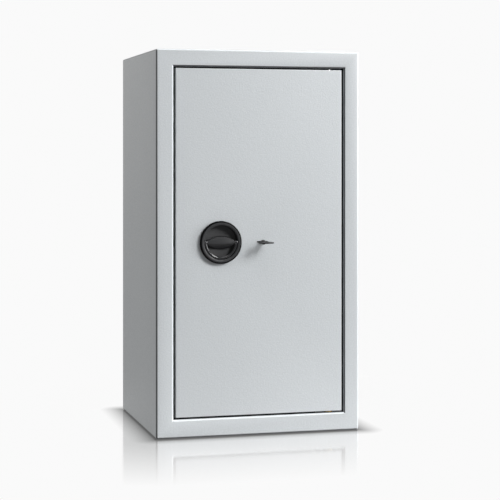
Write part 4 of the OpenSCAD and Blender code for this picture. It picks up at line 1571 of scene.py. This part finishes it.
@dataclass
class DoubleBitKey:
    """Key with a flat pierced bow, a turned shank with a collar, and two cut bits."""

    shank: float = 2.6 * MM
    collar: float = 3.8 * MM
    thick: float = 2.2 * MM
    neck: float = 2.0 * MM
    bow: float = 12.5 * MM
    bit_reach: float = 9.4 * MM
    bit_length: float = 17.0 * MM
    tip: float = 2.0 * MM
    cut_width: float = 1.9 * MM
    cut_pair: float = 4.2
    cuts: tuple[tuple[float, float], ...] = ((1.6, 2.4), (5.0, 1.2), (8.4, 3.0), (11.8, 1.8))
    eye_radius: float = 4.6 * MM
    eye_offset: float = 3.5 * MM

    def build(self, shop: Workshop) -> None:
        """Builds the key in place of the frame's.

        Args:
            shop: Dresses and places the finished piece.
        """
        low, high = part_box("key")
        centre = (low + high) / 2
        door_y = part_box("door_plate")[0].y
        bow_y = low.y + self.bow
        tip_y = high.y
        profile = [
            (0.0, bow_y + self.bow - 2 * MM), (self.shank * 0.8, bow_y + self.bow - 2 * MM),
            (self.shank, bow_y + self.bow - 1 * MM), (self.shank, door_y - 9.2 * MM),
            (self.collar - 0.4 * MM, door_y - 9 * MM), (self.collar, door_y - 8.6 * MM),
            (self.collar, door_y - 2.6 * MM), (self.collar - 0.4 * MM, door_y - 2.0 * MM),
            (self.shank, door_y - 1.6 * MM), (self.shank, tip_y - 1 * MM), (self.shank - 0.8 * MM, tip_y),
            (0.0, tip_y),
        ]
        stem = lathe("double_bit_key", profile, (centre.x, 0, centre.z), Axis.Y, 40)
        plate = self._bow_plate(centre, bow_y)
        bits_end = tip_y - self.tip
        bits_start = bits_end - self.bit_length
        half = self.thick / 2
        bits = add_block("bits", (centre.x - self.bit_reach, bits_start, centre.z - half),
                         (centre.x + self.bit_reach, bits_end, centre.z + half))
        notches = []
        for along, depth in self.cuts:
            y = bits_start + along * MM
            for side in (-1, 1):
                deep = depth if side > 0 else self.cut_pair - depth
                edge = centre.x + side * self.bit_reach
                x_low, x_high = sorted((edge - side * deep * MM, edge + side * MM))
                notches.append(add_block("notch", (x_low, y, centre.z - self.thick),
                                         (x_high, y + self.cut_width, centre.z + self.thick)))
        combine(bits, notches, Cut.REMOVE)
        combine(stem, [plate, bits], Cut.JOIN)
        soften(stem, 0.18 * MM, 2, 50)
        shade(stem, 35)
        shop.place(stem, "key", "key_nickel", "key")

    def _bow_plate(self, centre: Vector, bow_y: float) -> Piece:
        """Cuts the bow from flat stock: a waisted oval with a round eye.

        Args:
            centre: Middle of the key's box.
            bow_y: Middle of the bow along the key.

        Returns:
            The bow with its neck and eye.
        """
        steps = 40
        outline = []
        for i in range(steps):
            turn = 2 * math.pi * i / steps
            waist = 1.0 - 0.10 * math.cos(2 * turn) * (1 if math.sin(turn) < 0 else 0.4)
            outline.append((centre.x + self.bow * math.cos(turn) * (0.94 + 0.06 * abs(math.cos(turn))),
                            bow_y + self.bow * math.sin(turn) * min(1.0, waist),
                            centre.z - self.thick / 2))
        plate = extruded_outline("bow", outline, (0, 0, self.thick))
        neck = add_block("neck", (centre.x - 4 * MM, bow_y, centre.z - self.thick / 2),
                         (centre.x + 4 * MM, bow_y + self.bow + self.neck, centre.z + self.thick / 2))
        combine(plate, [neck], Cut.JOIN)
        eye = add_round("eye", Axis.Z, self.eye_radius,
                        (centre.x, bow_y - self.eye_offset, centre.z - self.thick), 2 * self.thick, 40)
        combine(plate, [eye], Cut.REMOVE)
        soften(plate, 0.35 * MM, 2, 50)
        return plate


# --------------------------------------------------------------------------- studio


@dataclass(frozen=True)
class SoftBox:
    """A square soft light that looks at the middle of the safe."""

    name: str
    place: Point
    size: float
    power: float

    def build(self, target: Vector) -> None:
        """Builds the light.

        Args:
            target: Where the light looks.
        """
        data = bpy.data.lights.new(self.name, "AREA")
        data.size = self.size
        data.energy = self.power
        lamp = bpy.data.objects.new(self.name, data)
        lamp.location = self.place
        lamp.rotation_euler = (target - Vector(self.place)).to_track_quat("-Z", "Y").to_euler()
        bpy.context.scene.collection.objects.link(lamp)


@dataclass
class Studio:
    """Pale glossy floor with a painted contact shadow, a white backdrop, a dimmer room in front, soft lights
    and the camera.
    """

    camera_place: Point = (-0.6678, -2.5474, 0.4696)
    camera_turn: float = 14.83
    lens: float = 107.6
    shift: tuple[float, float] = (0.02, -0.195)
    surround: float = 0.955
    room_tint: Colour = (1.0, 0.985, 0.965)
    room_ramp: tuple[float, float] = (-0.7, 0.6)
    room_front: float = 0.155
    room_back: float = 0.74
    white_above: tuple[float, float] = (0.10, 0.14)
    white_behind: float = 0.8
    floor_ramp: tuple[float, float] = (-1.2, 0.4)
    floor_front: float = 0.20
    floor_back: float = 0.40
    floor_half: float = 30.0
    floor_drop: float = 0.2 * MM
    floor_gloss: float = 0.09
    mirror: float = 0.62
    mirror_fade: float = 0.34
    # Painted contact shadow on the floor: how far it reaches, its darkest glow and its least mirror share.
    contact_shadow_reach: float = 0.042
    contact_shadow_tone: float = 0.13
    contact_shadow_mirror: float = 0.35
    boxes: tuple[SoftBox, ...] = (
        SoftBox("key_light", (4.9, -5.9, 4.9), 2.9, 580.0),
        SoftBox("side_light", (9.0, -3.7, 1.9), 3.5, 425.0),
        SoftBox("top_light", (-0.3, -3.2, 7.8), 4.0, 112.0),
    )

    def build(self) -> None:
        """Builds the surround, the floor, the lights and the camera."""
        self._camera()
        self._surround()
        self._floor()
        low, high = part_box("body_shell")
        for box in self.boxes:
            box.build((low + high) / 2)
        bpy.context.scene.view_settings.view_transform = "Standard"

    def _camera(self) -> None:
        """Sets the level camera with its rise and cross shift."""
        data = bpy.data.cameras.new("camera")
        data.lens = self.lens
        data.sensor_width = 36.0
        data.shift_x, data.shift_y = self.shift
        data.clip_end = 100.0
        camera = bpy.data.objects.new("camera", data)
        camera.location = self.camera_place
        camera.rotation_euler = (math.pi / 2, 0.0, -math.radians(self.camera_turn))
        bpy.context.scene.collection.objects.link(camera)
        bpy.context.scene.camera = camera

    def _surround(self) -> None:
        """White to the eye and to far mirrored rays; for the rest bright behind the safe, dim in front."""
        world = bpy.data.worlds.new("studio")
        bpy.context.scene.world = world
        w = Wiring(world, "ShaderNodeOutputWorld")
        way = w.add("ShaderNodeSeparateXYZ", {0: w.add("ShaderNodeTexCoord").outputs["Generated"]}).outputs
        path = w.add("ShaderNodeLightPath").outputs
        room = w.remap(way["Y"], *self.room_ramp, self.room_front, self.room_back, "SMOOTHSTEP")
        raised = w.sums("MULTIPLY", path["Is Glossy Ray"], w.remap(way["Z"], *self.white_above))
        mirrored = w.sums("MULTIPLY", raised, w.sums("GREATER_THAN", way["Y"], self.white_behind))
        w.show(w.sums("MAXIMUM", path["Is Camera Ray"], mirrored),
               w.add("ShaderNodeBackground", {"Color": (*self.room_tint, 1), "Strength": room}),
               w.add("ShaderNodeBackground", {"Color": (1, 1, 1, 1), "Strength": self.surround}))

    def _floor(self) -> None:
        """Lays a wide pale glowing sheet that mirrors softly close to the safe. Its glow is even white to the
        eye and, to other rays, brighter behind than in front; a painted contact shadow darkens the glow and
        the mirror next to the safe.
        """
        clear_selection()
        bpy.ops.mesh.primitive_plane_add(size=2 * self.floor_half, location=(0, 0, -self.floor_drop))
        floor = bpy.context.object
        floor.name = "studio_floor"
        g = Graph("studio_floor")
        g.tree.nodes.remove(g.shader)
        place = g.add("ShaderNodeSeparateXYZ", {0: g.place}).outputs
        away = self._outside_distance(g, place)
        # Painted contact shadow: the mirror share and the glow both darken next to the footprint.
        share = g.sums("MULTIPLY", g.remap(away, 0.0, self.mirror_fade, self.mirror, 0.0),
                       g.remap(away, 0.0, self.contact_shadow_reach, self.contact_shadow_mirror, 1.0))
        seen = g.add("ShaderNodeLightPath").outputs["Is Camera Ray"]
        tone = g.sums("MULTIPLY", seen, g.remap(away, 0.0, self.contact_shadow_reach, self.contact_shadow_tone, self.surround))
        cast = g.remap(place["Y"], *self.floor_ramp, self.floor_front, self.floor_back)
        strength = g.sums("ADD", tone, g.sums("MULTIPLY", g.sums("SUBTRACT", 1.0, seen), cast))
        g.show(share, g.add("ShaderNodeEmission", {"Strength": strength}),
               g.add("ShaderNodeBsdfGlossy", {"Roughness": self.floor_gloss, "Color": (1, 1, 1, 1)}))
        floor.data.materials.append(g.material)

    @staticmethod
    def _outside_distance(g: Graph, place: Sequence[Socket]) -> Socket:
        """Measures the distance on the floor from the safe's footprint.

        Args:
            g: The floor's nodes.
            place: The floor's coordinates, split by axis.

        Returns:
            The distance, in metres.
        """
        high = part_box("body_shell")[1]
        squares = []
        for axis, edge in (("X", high.x), ("Y", high.y)):
            beyond = g.sums("MAXIMUM", g.sums("SUBTRACT", g.sums("ABSOLUTE", place[axis]), edge), 0.0)
            squares.append(g.sums("MULTIPLY", beyond, beyond))
        return g.sums("SQRT", g.sums("ADD", *squares))


def main() -> None:
    """Builds the safe's pieces in order."""
    logging.basicConfig(level=logging.INFO, format="%(name)s %(message)s")
    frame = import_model()
    shop = Workshop(frame)
    for assembly in (CabinetShell(), FoldedShelves(), FoamSeal(), GapShadeStrip(), DoorLeaf(), BoltworkCover(),
                     LockingBolts(), CupHandle(), DoubleBitKey()):
        log.info("building %s", type(assembly).__name__)
        assembly.build(shop)
    Studio().build()


if __name__ == "__main__":
    main()
